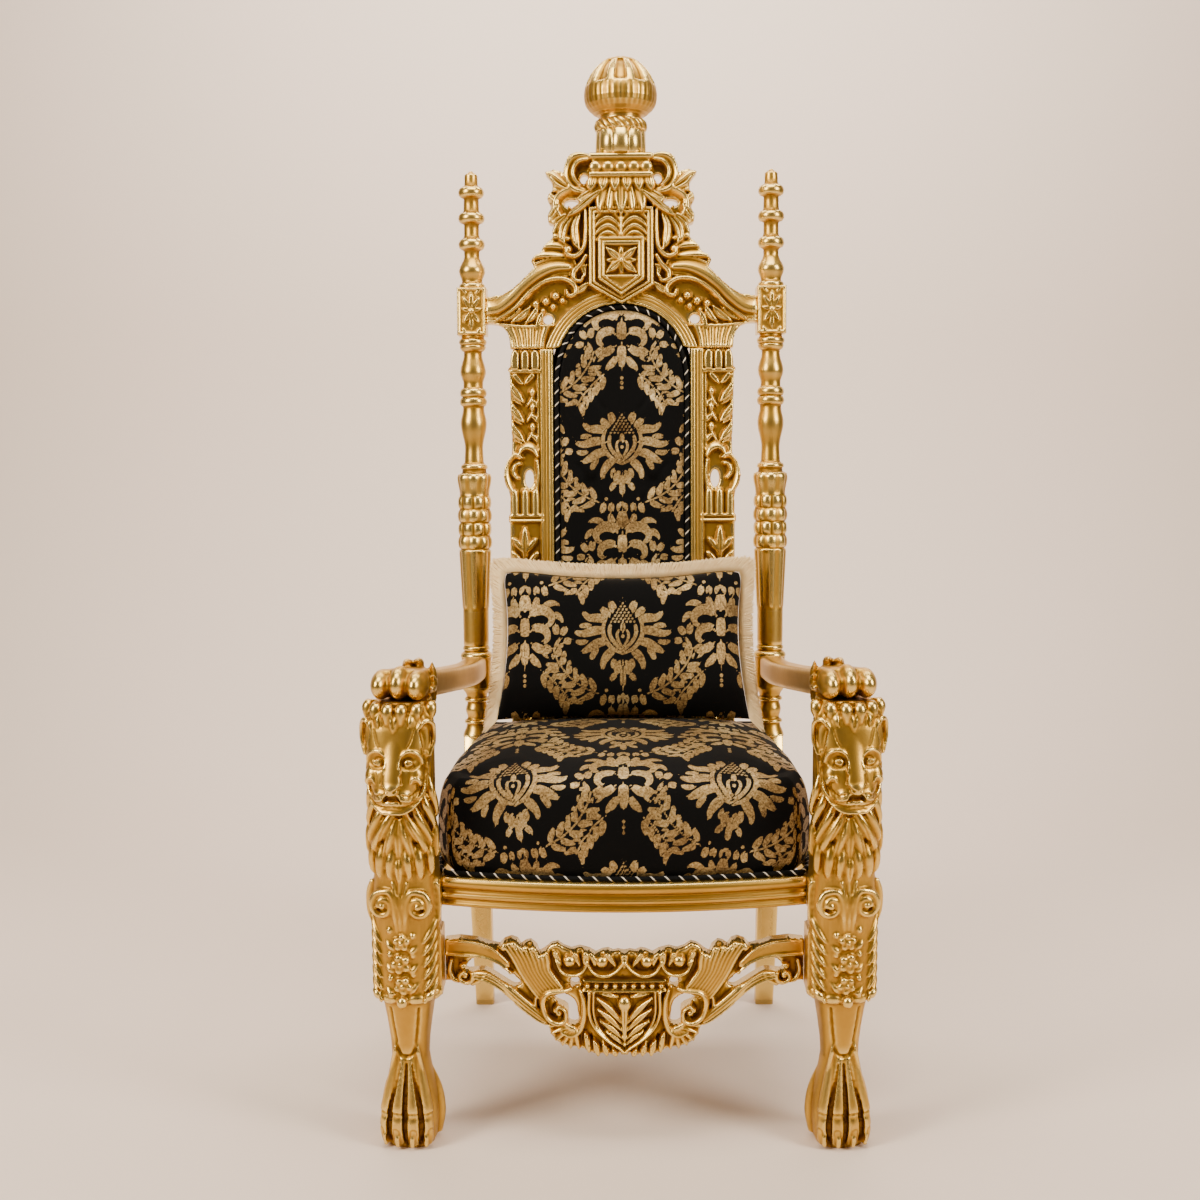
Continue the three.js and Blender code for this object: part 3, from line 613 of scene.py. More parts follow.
def damaskMaterial():
    material, tree, shader = newMaterial("damask velvet")
    place = {"Vector": addNode(tree, "ShaderNodeTexCoord", out="Object")}
    motif = addNode(tree, "ShaderNodeAttribute", {"attribute_name": "damask"}, out="Fac")
    fray = addNode(tree, "ShaderNodeTexNoise", velvet["fray"], place)
    wear = addNode(tree, "ShaderNodeTexNoise", velvet["wear"], place)
    cloud = addNode(tree, "ShaderNodeTexNoise", velvet["cloud"], place)
    centred = addNode(tree, "ShaderNodeMath", {"operation": "SUBTRACT", 1: 0.5}, {0: fray})
    threads = addNode(tree, "ShaderNodeMath", {"operation": "MULTIPLY", 1: velvet["fraying"]}, {0: centred})
    edge = addNode(tree, "ShaderNodeMath", {"operation": "ADD"}, {0: motif, 1: threads})
    mask = addNode(tree, "ShaderNodeMapRange", velvet["rim"], {"Value": edge})
    worn = addNode(tree, "ShaderNodeValToRGB", {"stops": velvet["lost"]}, {"Fac": wear})
    flecks = addNode(tree, "ShaderNodeMath", {"operation": "MULTIPLY", 1: velvet["wearShare"]}, {0: wear})
    clouds = addNode(tree, "ShaderNodeMath", {"operation": "MULTIPLY", 1: velvet["cloudShare"]}, {0: cloud})
    both = {0: flecks, 1: clouds}
    tone = addNode(tree, "ShaderNodeMath", {"operation": "ADD"}, both)
    foil = addNode(tree, "ShaderNodeValToRGB", {"stops": velvet["foil"]}, {"Fac": tone})
    amount = addNode(tree, "ShaderNodeMix", {"data_type": "FLOAT"}, {0: mask, 3: worn})
    pile = {"data_type": "RGBA", 6: linear(velvet["pile"])}
    metal = {"operation": "MULTIPLY", 1: velvet["metal"]}
    setShader(tree, shader, {
        "Base Color": addNode(tree, "ShaderNodeMix", pile, {0: amount, 7: foil}, out=2),
        "Metallic": addNode(tree, "ShaderNodeMath", metal, {0: amount}),
        "Roughness": addNode(tree, "ShaderNodeMapRange", velvet["rough"], {"Value": amount}),
        "Sheen Weight": addNode(tree, "ShaderNodeMapRange", velvet["sheen"], {"Value": amount}),
        "Sheen Roughness": 0.4,
        "Specular IOR Level": 0.12,
        "Normal": addNode(tree, "ShaderNodeBump", velvet["bump"], {"Height": fray}),
    })
    return material


# Twisted piping: matt black strands with one pale strand that reads as a broken line.
ropeLook = {
    "fibre": {"Scale": perMetre(0.7143), "Detail": 2.0, "Roughness": 0.6},  # fibres
    "rim": {"From Min": 0.5, "From Max": 0.62},
    "pale": ("#a79c8a", "#efe9dc"),
    "dark": "#050505",
    "bump": {"Strength": 0.3, "Distance": 0.0003},
}


def ropeMaterial():
    material, tree, shader = newMaterial("twisted cord")
    place = {"Vector": addNode(tree, "ShaderNodeTexCoord", out="Object")}
    strand = addNode(tree, "ShaderNodeAttribute", {"attribute_name": "strand"}, out="Fac")
    fibre = addNode(tree, "ShaderNodeTexNoise", ropeLook["fibre"], place)
    mask = addNode(tree, "ShaderNodeMapRange", ropeLook["rim"], {"Value": strand})
    shades = {"data_type": "RGBA", 6: linear(ropeLook["pale"][0]), 7: linear(ropeLook["pale"][1])}
    pale = addNode(tree, "ShaderNodeMix", shades, {0: fibre}, out=2)
    dark = {"data_type": "RGBA", 6: linear(ropeLook["dark"])}
    setShader(tree, shader, {
        "Base Color": addNode(tree, "ShaderNodeMix", dark, {0: mask, 7: pale}, out=2),
        "Roughness": 0.75,
        "Specular IOR Level": 0.12,
        "Normal": addNode(tree, "ShaderNodeBump", ropeLook["bump"], {"Height": fibre}),
    })
    return material


# A plain cloth or yarn: two close tones in soft patches and a fine nap, the nap about 1.4 mm.
clothNap = {"Scale": perMetre(1.4286), "Detail": 2.0, "Roughness": 0.6}
clothBump = {"Strength": 0.2, "Distance": 0.0004}


def plainMaterial(name, tones, rough, sheen, patches):
    material, tree, shader = newMaterial(name)
    place = {"Vector": addNode(tree, "ShaderNodeTexCoord", out="Object")}
    patch = {"Scale": patches, "Detail": 4.0, "Roughness": 0.6}
    cloud = addNode(tree, "ShaderNodeTexNoise", patch, place)
    nap = addNode(tree, "ShaderNodeTexNoise", clothNap, place)
    shades = {"data_type": "RGBA", 6: linear(tones[0]), 7: linear(tones[1])}
    setShader(tree, shader, {
        "Base Color": addNode(tree, "ShaderNodeMix", shades, {0: cloud}, out=2),
        "Roughness": rough,
        "Sheen Weight": sheen,
        "Normal": addNode(tree, "ShaderNodeBump", clothBump, {"Height": nap}),
    })
    return material


print("materials")
gold = goldMaterial()
damask = damaskMaterial()
rope = ropeMaterial()
# The last number counts the patches in a metre: 83, 50 and 18 mm wide.
plainVelvet = plainMaterial("plain velvet", ("#070606", "#0d0b0b"), 0.95, 0.04, 12.0)
dustCloth = plainMaterial("dust cloth", ("#15110e", "#1f1a15"), 0.9, 0.0, 20.0)
fringeYarn = plainMaterial("fringe yarn", ("#dcb87c", "#f3dcac"), 0.85, 0.05, 55.0)


# A carved piece; keep is the share of the triangles that stays where they bend least.
def goldPiece(name, part, nodes, reach=12, scale=1.6, keep=1.0):
    points, faces = part
    # The hollow value, from which the gold paints its shade and its edge highlight.
    values = {"hollow": shadeFromHollows(points, faces, reach, scale)}
    return makePiece(name, points, faces, gold, nodes, values, True, keep)


# The holes are ovals: middle, half width and half height.
crest = {
    "step": 1.75,
    "holes": [(68, 1142, 8, 9), (92, 1097, 14, 8), (137, 884, 9, 9)],
    "edge": [
        (0, 1184), (56, 1184), (66, 1187), (78, 1190), (90, 1188), (99, 1179), (104, 1165), (107, 1151),
        (114, 1157), (126, 1160), (141, 1153), (133, 1143), (127, 1133), (127, 1120), (134, 1113), (137, 1104),
        (131, 1095), (131, 1086), (136, 1074), (135, 1062), (124, 1057), (128, 1045), (127, 1034), (134, 1029),
        (144, 1018), (151, 1006), (160, 1002), (168, 992), (162, 980), (184, 957), (202, 941), (222, 930),
        (252.4, 926), (252.4, 877), (234, 876), (222, 871), (213, 860), (209, 846), (208, 830.2), (128, 830.2),
    ],
}


def archPath(offset, steps):
    turn = np.pi * (1 - np.arange(steps + 1) / steps)
    c, s = np.cos(turn), np.sin(turn)
    x = (shared["archHalf"] + offset) * np.sign(c) * np.abs(c) ** (2 / shared["archPower"])
    z = shared["archSpring"] + (shared["archRise"] + offset) * np.abs(s) ** (2 / shared["archPower"])
    return np.stack([x, z], 1)


def oval(x, z, rx, rz, count=28):
    turn = np.arange(count) * 2 * np.pi / count
    return np.stack([x + rx * np.cos(turn), z + rz * np.sin(turn)], 1)


reeds = {"pitch": 6.3, "wide": 25.5, "valley": 0.55, "ridge": 0.45}


# Four reeds that follow the opening.
def archMoulding(relief, distance, low=0.0):
    wave = np.abs(np.sin(np.pi * distance / reeds["pitch"])) ** 0.6
    lift = np.interp(distance, [0, 1, 24, 26], [5, 7, 9, 0])
    ridges = lift * (reeds["valley"] + reeds["ridge"] * wave)
    h = np.where((distance > 0) & (distance < reeds["wide"]), ridges, 0.0)
    relief.h = np.maximum(relief.h, np.where(relief.z > low, h, 0.0))


def polygonDistance(relief, corners):
    return outlineDistance(relief.x, relief.z, [corners])


# A volute that rolls in to a round eye.
def curl(relief, x, z, size, turns, start, way, width, height, base=0.0):
    t = np.linspace(0, 1, int(14 * turns) + 4)
    radius = size * (1 - 0.86 * t)
    angle = start + way * 2 * np.pi * turns * t
    points = np.stack([x + radius * np.cos(angle), z + radius * np.sin(angle), width * (1 - 0.45 * t)], 1)
    relief.stroke(points, height, "round", base, steps=2)
    relief.bead(x, z, size * 0.26, height, base)


def crestRelief():
    c = Relief(0, 256, 828, 1192, crest["step"])
    arch = archPath(0, 60)
    half = arch[arch[:, 0] >= -1]
    nearArch = -outlineDistance(c.x, c.z, [np.concatenate([half, [[-40, 700]], [[-40, 912]]])])
    c.h += 2.0
    # Flared reeds over the stile, under a lip.
    for k in range(7):
        top, foot = 141 + 13.4 * k, 150 + 9.2 * k
        c.stroke([[foot, 828, 5.4], [foot + (top - foot) * 0.3, 850, 6.2], [top, 870, 7]], 8, "round", 2)
    c.stroke([[128, 873, 3], [180, 871, 3.5], [234, 876, 3]], 9, "round", 2)
    # Leaves and berries under the rail.
    for leafPath in (
        [[226, 882, 2], [206, 892, 9], [188, 904, 1]], [[204, 880, 2], [184, 892, 9], [170, 908, 1]],
        [[178, 878, 2], [164, 892, 8], [156, 910, 1]], [[160, 866, 2], [152, 886, 7], [146, 900, 1]],
    ):
        c.stroke(leafPath, 9, "leaf", 3)
    for x, z, r in (
        (160, 912, 7.5), (141, 917, 8), (123, 927, 8), (127, 907, 6.5), (110, 918, 6.5), (146, 900, 5),
    ):
        c.bead(x, z, r, 10, 5)
    # Stepped shell lobes above the rail.
    for shell in (
        [[172, 993, 2], [156, 1003, 8], [130, 1004, 10], [104, 1000, 9]],
        [[158, 1013, 2], [144, 1021, 8], [122, 1022, 10], [102, 1018, 8]],
        [[140, 1032, 2], [130, 1038, 7], [114, 1038, 9], [100, 1034, 7]],
    ):
        c.stroke(shell, 14, "tilt", 4)
    # Broad curved rail between post and shield.
    curved = [
        [255, 901, 24], [231, 905, 25], [208, 922, 25], [187, 943, 25], [166, 960, 24], [145, 972, 22],
        [123, 979, 20], [98, 980, 17],
    ]
    path = smoothPath(curved, 10)
    area = c.window((80, 860), (256, 1010))
    inside, _, across = strokeField(c.x[area], c.z[area], path)
    places = [
        -1.0, -0.96, -0.86, -0.78, -0.7, -0.5, -0.2, 0.1, 0.32, 0.42, 0.5, 0.6, 0.68, 0.76, 0.88, 0.97, 1.0,
    ]
    levels = [3.0, 9.0, 10.5, 9.0, 7.0, 11.0, 15.5, 17.0, 15.0, 12.0, 8.5, 11.0, 11.0, 7.5, 12.0, 9.0, 3.0]
    c.h[area] = np.where(inside > 0, np.interp(across, places, levels), c.h[area])
    hook = [
        [231, 884, 4.5], [199, 905, 5], [168, 937, 5.4], [136, 956, 5.6], [106, 958, 5.8], [87, 946, 5.8],
        [86, 931, 5.4], [98, 927, 4.6], [102, 937, 3],
    ]
    c.stroke(hook, 13, "round", 4)
    # Upper roll with its ridges.
    roll = [
        [54, 1178, 9], [72, 1180, 11], [92, 1174, 12], [101, 1156, 12], [97, 1137, 11], [84, 1124, 10],
        [62, 1118, 8],
    ]
    c.stroke(roll, 19, "tilt", 5)
    c.stroke([[58, 1176, 3], [78, 1172, 4.4], [88, 1158, 4.6], [87, 1142, 4.4], [76, 1128, 3]], 7, "round", 14)
    c.groove([[92, 1182, 1.6], [106, 1166, 2.2], [108, 1146, 2.2], [98, 1128, 1.4]], -4)
    # Leaf tips and the ring round the lower eye.
    c.stroke([[96, 1122, 5], [116, 1134, 13], [130, 1146, 10], [145, 1152, 0.8]], 14, "leaf", 4)
    c.stroke([[104, 1118, 4], [122, 1124, 8], [137, 1128, 5], [140, 1138, 0.8]], 11, "leaf", 4)
    c.stroke([[118, 1100, 5], [130, 1108, 8], [136, 1114, 5], [138, 1106, 1]], 12, "leaf", 4)
    ring = [[58, 1114, 7], [80, 1120, 8], [102, 1117, 8], [117, 1106, 8], [120, 1092, 8], [113, 1078, 7]]
    c.stroke(ring, 17, "tilt", 5)
    c.stroke([[118, 1092, 6], [126, 1078, 10], [136, 1064, 7], [136, 1050, 1]], 14, "leaf", 4)
    # Drooping leaves beside the shield.
    c.stroke([[104, 1074, 5], [120, 1062, 10], [128, 1044, 8], [126, 1030, 1]], 13, "leaf", 4)
    c.stroke([[92, 1072, 6], [106, 1054, 11], [110, 1034, 9], [104, 1022, 1]], 15, "leaf", 4)
    c.stroke([[78, 1078, 5], [86, 1052, 9], [84, 1028, 9], [78, 1012, 2]], 14, "leaf", 5)
    c.stroke([
        [66, 1082, 4.4], [66, 1040, 5], [70, 1014, 5.4], [84, 1000, 5.8], [99, 1002, 5.4], [104, 1014, 4],
    ], 17, "round", 5)
    c.bead(98, 1012, 8, 13, 6)
    c.stroke([
        [66, 1000, 5], [76, 984, 6], [88, 972, 6.5], [88, 958, 5.5], [76, 954, 4], [70, 964, 3],
    ], 13, "round", 4)
    c.stroke([[64, 984, 2], [70, 976, 6], [66, 962, 1]], 10, "leaf", 4)
    c.stroke([[62, 950, 3], [74, 940, 8], [92, 928, 2]], 10, "leaf", 4)
    # Shield: a double frame, palm sprays, and a sunk square with a flower.
    outer = polygonDistance(c, [(-61, 1090), (-61, 945), (0, 910), (61, 945), (61, 1090)])
    frames = np.interp(
        outer, [0, 0.8, 2.5, 4.5, 6, 7, 8, 9.5, 11.5, 13, 14], [4, 16, 19, 19, 16, 13, 16, 19, 19, 15, 11],
    )
    c.h = np.where(outer > 0, np.where(outer < 14, frames, 11.0), c.h)
    for k, z in enumerate((1080, 1066, 1052, 1039)):
        c.stroke([
            [1, z - 20, 2], [10, z - 6, 4.6], [24, z + 2, 5.6], [38, z - 4, 5], [47, z - 14, 2],
        ], 9, "tilt", 10)
    c.stroke([[0, 1092, 3], [0, 1060, 3.4], [0, 1034, 2.4]], 9, "round", 10)
    inner = polygonDistance(c, [(-44, 1035), (-44, 956), (0, 925), (44, 956), (44, 1035)])
    frame = np.interp(inner, [0, 1, 3.5, 5.5, 7, 8.5, 11, 12.5, 13.2], [11, 21, 24, 22, 19, 21, 24, 23, 18])
    c.h = np.where(inner > 0, np.where(inner < 13.2, frame, 18.0), c.h)
    sunk = np.maximum(np.abs(c.x) - 31, np.abs(c.z - 991) - 28)
    c.h = np.where(sunk < 0, 12.0, c.h)
    c.h = np.where((sunk >= 0) & (sunk < 3), np.maximum(c.h, 23.0), c.h)
    for z in (1014, 968):
        c.stroke([[1, 991, 3], [14, 991 + (z - 991) * 0.5, 9], [28, z, 1.5]], 11, "leaf", 12)
    c.stroke([[2, 991, 2], [16, 991, 5], [28, 991, 1.5]], 8, "leaf", 12)
    for z in (1016, 966):
        c.stroke([[0, 991, 2], [0, (991 + z) / 2, 5], [0, z, 1.5]], 8, "leaf", 12)
    c.bead(0, 991, 6, 8, 17)
    # Long petals that fan out under the block, the small leaves over them, and the block itself.
    c.stroke([[40, 1116, 4], [62, 1100, 9], [84, 1082, 8], [98, 1072, 2]], 16, "leaf", 12)
    c.stroke([[44, 1122, 4], [66, 1110, 7], [86, 1096, 4], [98, 1088, 1]], 13, "leaf", 12)
    for x, low in ((33, 1078), (0, 1073), (17, 1080)):
        c.stroke([
            [x * 0.8, 1126, 10], [x, 1108, 15 if x != 17 else 10], [x * 1.12, 1090, 10], [x * 1.15, low, 1],
        ], 18, "tilt", 12)
    for x in (54, 33, 11):
        c.stroke([[x * 0.94, 1146, 8], [x, 1132, 11], [x * 1.04, 1117, 1.5]], 9, "leaf", 22)
    c.h = np.where((c.x < 53.5) & (c.z > 1142) & (c.z < 1186), 30.0, c.h)
    for x in (0, 24, 47):
        c.bead(x, 1159, 11.4, 6, 30.0, 0.95)
    for low, high in ((1140, 1150), (1173, 1185)):
        bow = 4.5 * np.sqrt(np.clip(1 - ((c.z - (low + high) / 2) / ((high - low) / 2)) ** 2, 0, 1))
        c.h = np.where((c.x < 58) & (c.z > low) & (c.z < high), 31.0 + bow, c.h)
    # The moulding round the opening passes under the point of the shield.
    keep = c.h.copy()
    archMoulding(c, nearArch)
    c.h = np.where(outer > 0, keep, c.h)
    return c


print("crest")
relief = crestRelief()
halfEdge = [(-x, z) for x, z in crest["edge"]]
arch = archPath(0, 48)
arch = arch[arch[:, 1] > shared["jointZ"] + 0.5]
outline = [(x, z) for x, z in crest["edge"]] + [tuple(p) for p in arch[::-1]] + halfEdge[:0:-1]
loops = [outline]
for x, z, rx, rz in crest["holes"]:
    loops += [oval(x, z, rx, rz), oval(-x, z, rx, rz)]
plate = reliefPlate(relief, loops, shared["frameFront"], shared["frameBack"], 3.5)
backBlock = boxPart(-53, 53, shared["frameBack"] - 2, 30, 1146, 1182, 2)
points, faces = mergeParts([plate, backBlock])
goldPiece("crest", (leaned(points), faces), ["crest"], 14, 2.2, 0.56)


stile = {
    "step": 2.0,
    "hole": (175, 587, 8.5, 17),
    "edge": [
        (128, -21.8), (212, -21.8), (212, 504), (214, 508), (214, 517), (211, 521), (211, 548), (213, 562),
        (220, 578), (222.5, 592), (221, 607), (216, 620), (207, 632), (206.5, 660), (208, 700), (210, 786),
        (213, 789), (213, 793), (209, 797), (208, 812), (205, 822), (203, 829.7), (128, 829.7),
    ],
}


def stileRelief():
    s = Relief(126, 226, -22, 830, stile["step"])
    s.h += 1.5
    archMoulding(s, s.x - 128.0, -40)
    # Three round-topped lobes over a ledge.
    for x in (200, 181, 162.5):
        s.stroke([[x, 796, 8.4], [x, 812, 8.6], [x, 820, 8]], 10, "flat", 1)
    s.h = np.where((s.z > 785) & (s.z < 791) & (s.x > 153), 9.0, s.h)
    # Framed panel: big slanting leaves on the outer side, buds on the inner.
    for x in (156.5, 210):
        s.stroke([[x, 640, 2.2], [x, 786, 2.2]], 6, "round", 1)
    s.stroke([[200, 780, 5], [192, 770, 5], [185, 764, 1]], 8, "leaf", 2)
    s.stroke([[168, 780, 5], [176, 771, 5], [182, 764, 1]], 8, "leaf", 2)
    for top in (766, 729, 693):
        s.stroke([[207, top, 2], [203, top - 12, 8], [194, top - 24, 8.5], [184, top - 36, 1.5]], 11, "leaf", 2)
        s.stroke([[204, top - 22, 1.5], [198, top - 31, 5], [188, top - 40, 1]], 8, "leaf", 2)
    for z, r in ((749, 6.5), (721, 6), (684, 6.5)):
        s.stroke([[178, z - 26, 2], [169, z - 12, 3], [168, z - 2, 2.5]], 7, "round", 2)
        s.bead(168, z, r, 9, 2, 1.35)
        s.stroke([[172, z - 14, 1.5], [163, z - 20, 4.5], [160, z - 28, 1]], 7, "leaf", 2)
    # Rolled leaf, eye and the bulging scroll beside it.
    s.stroke([[195, 632, 4], [190, 644, 7.5], [177, 649, 8.5], [164, 643, 8], [158, 630, 4]], 13, "tilt", 3)
    s.stroke([
        [190, 626, 5], [202, 630, 7], [214, 620, 8], [217, 600, 9], [213, 580, 8], [204, 563, 5],
    ], 13, "tilt", 2)
    s.stroke([[192, 616, 4], [201, 612, 5], [204, 598, 5], [197, 588, 4]], 10, "round", 3)
    s.stroke([[160, 622, 3], [158, 596, 4], [160, 568, 3]], 7, "round", 2)
    # Gadroons, a double ledge and the palmette panels.
    for x in (203, 183, 163.5):
        s.stroke([[x, 562, 7.5], [x, 548, 9], [x, 522, 9]], 9, "round", 1)
    for z in (517.5, 508.5):
        s.stroke([[150, z, 4], [214, z, 4]], 9, "round", 1)
    for low in (414, 322, 230, 138, 46):
        s.stroke([[184, low + 20, 3], [184, low + 56, 9], [184, low + 84, 2]], 9, "leaf", 2)
        for side in (-1, 1):
            for x1, z1, w in ((21, 60, 7), (24, 34, 7), (24, 12, 6)):
                s.stroke([
                    [184 + side * 4, low + z1 - 24, 2], [184 + side * x1 * 0.7, low + z1 - 8, w],
                    [184 + side * x1, low + z1, 1.5],
                ], 9, "leaf", 2)
    return s


print("stiles")
relief = stileRelief()
loops = [stile["edge"], oval(*stile["hole"])]
points, faces = reliefPlate(relief, loops, shared["frameFront"], shared["frameBack"], 3.0, False)
right = (leaned(points), faces)
goldPiece("backStileRight", right, ["back_stile_right"], 12, 1.8, 0.56)
goldPiece("backStileLeft", mirroredPart(right), ["back_stile_left"], 12, 1.8, 0.56)
points, faces = boxPart(-127.5, 127.5, -11, 12, -21.5, 12, 1.5)
goldPiece("backBottomRail", (leaned(points), faces), ["back_bottom_rail"])


crown = {
    "y": -8.0,
    "lobes": 8,  # round the drum
    "strands": 22,  # of the rope ring
    "straps": 10,  # between the sunk panels of the dome
    "teeth": 36,
    "flutes": 36,
    "panelDeep": 7.0,
}


def crownParts():
    y = crown["y"]

    def drumShape(turn, z, r):
        lobe = np.abs(np.cos(crown["lobes"] / 2 * turn)) ** 0.45
        return r * (0.88 + 0.12 * lobe)

    def ringShape(turn, z, r):
        twist = crown["strands"] * turn + (z - 1240) * 0.42
        return r + 1.6 * np.cos(twist) * np.clip((r - 41) / 4, 0, 1)

    def domeShape(turn, z, r):
        rib = np.abs(((turn / (2 * np.pi) * crown["straps"] + 0.5) % 1) - 0.5) * 2
        between = np.clip((z - 1311) / 3, 0, 1) * np.clip((1356 - z) / 3, 0, 1)
        panel = np.clip((rib - 0.42) / 0.08, 0, 1) * between
        rounded = (1.6 - 1.2 * (rib / 0.42) ** 2) * np.clip((0.45 - rib) / 0.06, 0, 1)
        strap = np.clip((z - 1305) / 6, 0, 1) * rounded
        teeth = 1.7 * np.abs(np.cos(crown["teeth"] / 2 * turn)) ** 0.6 * np.exp(-(((z - 1302) / 9) ** 2))
        below = np.clip((1300 - z) / 10, 0, 1) * np.clip((z - 1262) / 10, 0, 1)
        flutes = 0.5 * np.cos(crown["flutes"] * turn) * below
        return r + flutes + teeth + strap - crown["panelDeep"] * panel

    drum = turnedProfile([(1184.4, 44), ("line", 1187, 47), ("line", 1228, 46), ("line", 1230, 43)])
    ring = turnedProfile([(1228, 42), ("bead", 1250, 40, 7)], 1.2)
    collar = turnedProfile([(1248, 41), ("line", 1252, 38), ("ease", 1258, 38), ("line", 1270, 36)])
    dome = turnedProfile([
        (1256, 34), ("line", 1257, 44), ("ease", 1262, 52), ("line", 1268, 59), ("line", 1276, 64.5),
        ("line", 1286, 67), ("line", 1296, 66.5), ("line", 1308, 64.5), ("line", 1320, 60.5),
        ("line", 1332, 54.5),
        ("line", 1343, 46.5), ("line", 1352, 37.5), ("line", 1359, 26), ("line", 1362, 17), ("line", 1362.6, 4),
    ], 1.3)
    return mergeParts([
        lathePart(drum, 112, 0, y, drumShape),
        lathePart(ring, 128, 0, y, ringShape),
        lathePart(collar, 64, 0, y),
        lathePart(dome, 180, 0, y, domeShape),
    ])


print("crown")
points, faces = crownParts()
goldPiece("crownFinial", (leaned(points), faces), ["crown_finial"], 10, 1.6, 0.7)


post = {
    "x": -280.0,
    "sides": 56,
    "ribs": 8,
    "sleeve": (336, 452),
    "knuckles": (455, 556, 25.2),  # from, to and the height of one row
    "petals": (558, 597),
    "block": (856, 944),
    "blockHalf": 27,
    "blockStep": 1.6,
    "legTop": 428,
    "legY": 538,
    "splay": 88,  # how far the foot stands behind the seat
    "footHalf": 18,
    "legGrows": 5,
}


def postParts():
    profile = turnedProfile([
        (96, 27), ("ease", 121, 19.5), ("bead", 129, 19.5, 4.5), ("line", 132, 18), ("ease", 148, 21.5),
        ("ease", 163, 18), ("bead", 172, 18.5, 5.5), ("line", 175, 20), ("ease", 192, 28.5),
        ("line", 248, 28.5),
        ("bead", 259, 24, 3.5), ("line", 261, 22.5), ("bead", 270, 22.5, 3), ("line", 272, 24),
        ("line", 334, 24.5),
        ("line", 452, 30), ("line", 455, 28),
        ("line", 556, 28), ("line", 558, 28), ("ease", 590, 32.5), ("line", 596, 31), ("line", 599, 23),
        ("line", 606, 22.5), ("bead", 616, 20, 4), ("line", 619, 18), ("ease", 645, 17), ("ease", 692, 24.5),
        ("ease", 720, 20), ("line", 724, 20), ("bead", 741, 20, 5.5), ("bead", 758, 19, 5.5),
        ("line", 760, 18.5),
        ("ease", 766, 18.5), ("ease", 788, 24), ("ease", 822, 17), ("line", 826, 17), ("bead", 838, 22, 4),
        ("bead", 850, 22, 4), ("line", 853, 21), ("line", 860, 21), ("line", 944, 21), ("bead", 953, 20, 3.5),
        ("line", 956, 19), ("ease", 976, 24.5), ("ease", 1004, 14.2), ("line", 1012, 14.2), ("line", 1015, 17),
        ("bead", 1036, 16, 8), ("line", 1040, 14.5), ("ease", 1044, 14), ("line", 1062, 14), ("line", 1064, 17),
        ("bead", 1084, 16, 8), ("line", 1088, 14.5), ("line", 1109, 14), ("line", 1111, 16.5),
        ("bead", 1131, 15.5, 8),
        ("line", 1134, 12.5), ("line", 1152, 12), ("ease", 1160, 3),
    ], 2.0)

    def shape(turn, z, r):
        a = post["ribs"] * turn
        low, high = post["sleeve"]
        inSleeve = (z > low) & (z < high)
        foot = np.clip((z - low - 16 * (1 - np.abs(np.cos(a / 2)))) / 8, 0, 1)
        sleeve = 0.90 + 0.12 * np.abs(np.cos(a / 2)) ** 0.8
        out = np.where(inSleeve, np.maximum(24.4, r * (0.90 + (sleeve - 0.90) * foot)), r)
        low, high, tall = post["knuckles"]
        row = np.floor((z - low) / tall)
        within = ((z - low) / tall) % 1.0
        knuckle = np.sqrt(np.clip(1 - (2 * within - 1) ** 2, 0, 1)) ** 0.8
        lobe = np.abs(np.cos(a / 2 + (row % 2) * np.pi / 2)) ** 0.6
        out = np.where((z >= low) & (z < high), 26 + knuckle * (2.2 + 4.2 * lobe), out)
        petal = np.abs(np.cos(a / 2)) ** 0.5
        low, high = post["petals"]
        rise = np.clip((z - low) / 26, 0, 1)
        cupped = r * (1.0 - 0.13 * (1 - petal) * (0.4 + 0.6 * rise))
        return np.where((z >= low) & (z < high), cupped, out)

    return lathePart(profile, post["sides"], post["x"], 0, shape)


# A square block with a framed flower on its front and plain sides.
def carvedBlock():
    z0, z1 = post["block"]
    half = post["blockHalf"]
    panel = Relief(0, half, z0, z1, post["blockStep"])
    mid = (z0 + z1) / 2
    rim = np.minimum(half - panel.x, np.minimum(panel.z - z0, z1 - panel.z))
    panel.h = np.interp(rim, [0, 2, 4, 6, 7], [0.5, 3, 3, 1, -2.0])
    for dx, dz, w in ((0, 34, 5), (14, 24, 5), (17, 4, 4.5), (13, -20, 5), (0, -34, 5)):
        panel.stroke([[0, mid, 2], [dx * 0.6, mid + dz * 0.6, w], [dx, mid + dz, 1.2]], 5.5, "leaf", -1)
    panel.bead(0, mid, 6, 6, 0)
    for dx, dz in ((16, 38), (16, -36)):
        panel.stroke([
            [dx - 7, mid + dz - 6, 1.2], [dx - 2, mid + dz, 3.5], [dx, mid + dz + 4, 1],
        ], 4, "leaf", -1)
    loop = [(-half, z0), (half, z0), (half, z1), (-half, z1)]
    points, faces = reliefPlate(panel, [loop], -24, 26.5, 2.0)
    points[:, 0] += post["x"]
    return points, faces


def taperedLeg():
    rings = []
    for z in np.linspace(0, post["legTop"], 14):
        t = z / post["legTop"]
        back = post["splay"] * (1 - t) ** 1.15
        half = post["footHalf"] + post["legGrows"] * t
        rings.append(ovalRing(28, post["x"], post["legY"] + back, z, half, half, 7))
    return loftRings(np.array(rings))


print("posts")
upper = mergeParts([
    postParts(),
    carvedBlock(),
    boxPart(-303.5, -256.5, -23, 23, -64, 100, 2.5),
])
points, faces = mergeParts([(leaned(upper[0]), upper[1]), taperedLeg()])
goldPiece("rearPostLeft", (points, faces), ["rear_post_left"], 8, 1.5, 0.7)
goldPiece("rearPostRight", mirroredPart((points, faces)), ["rear_post_right"], 8, 1.5, 0.7)


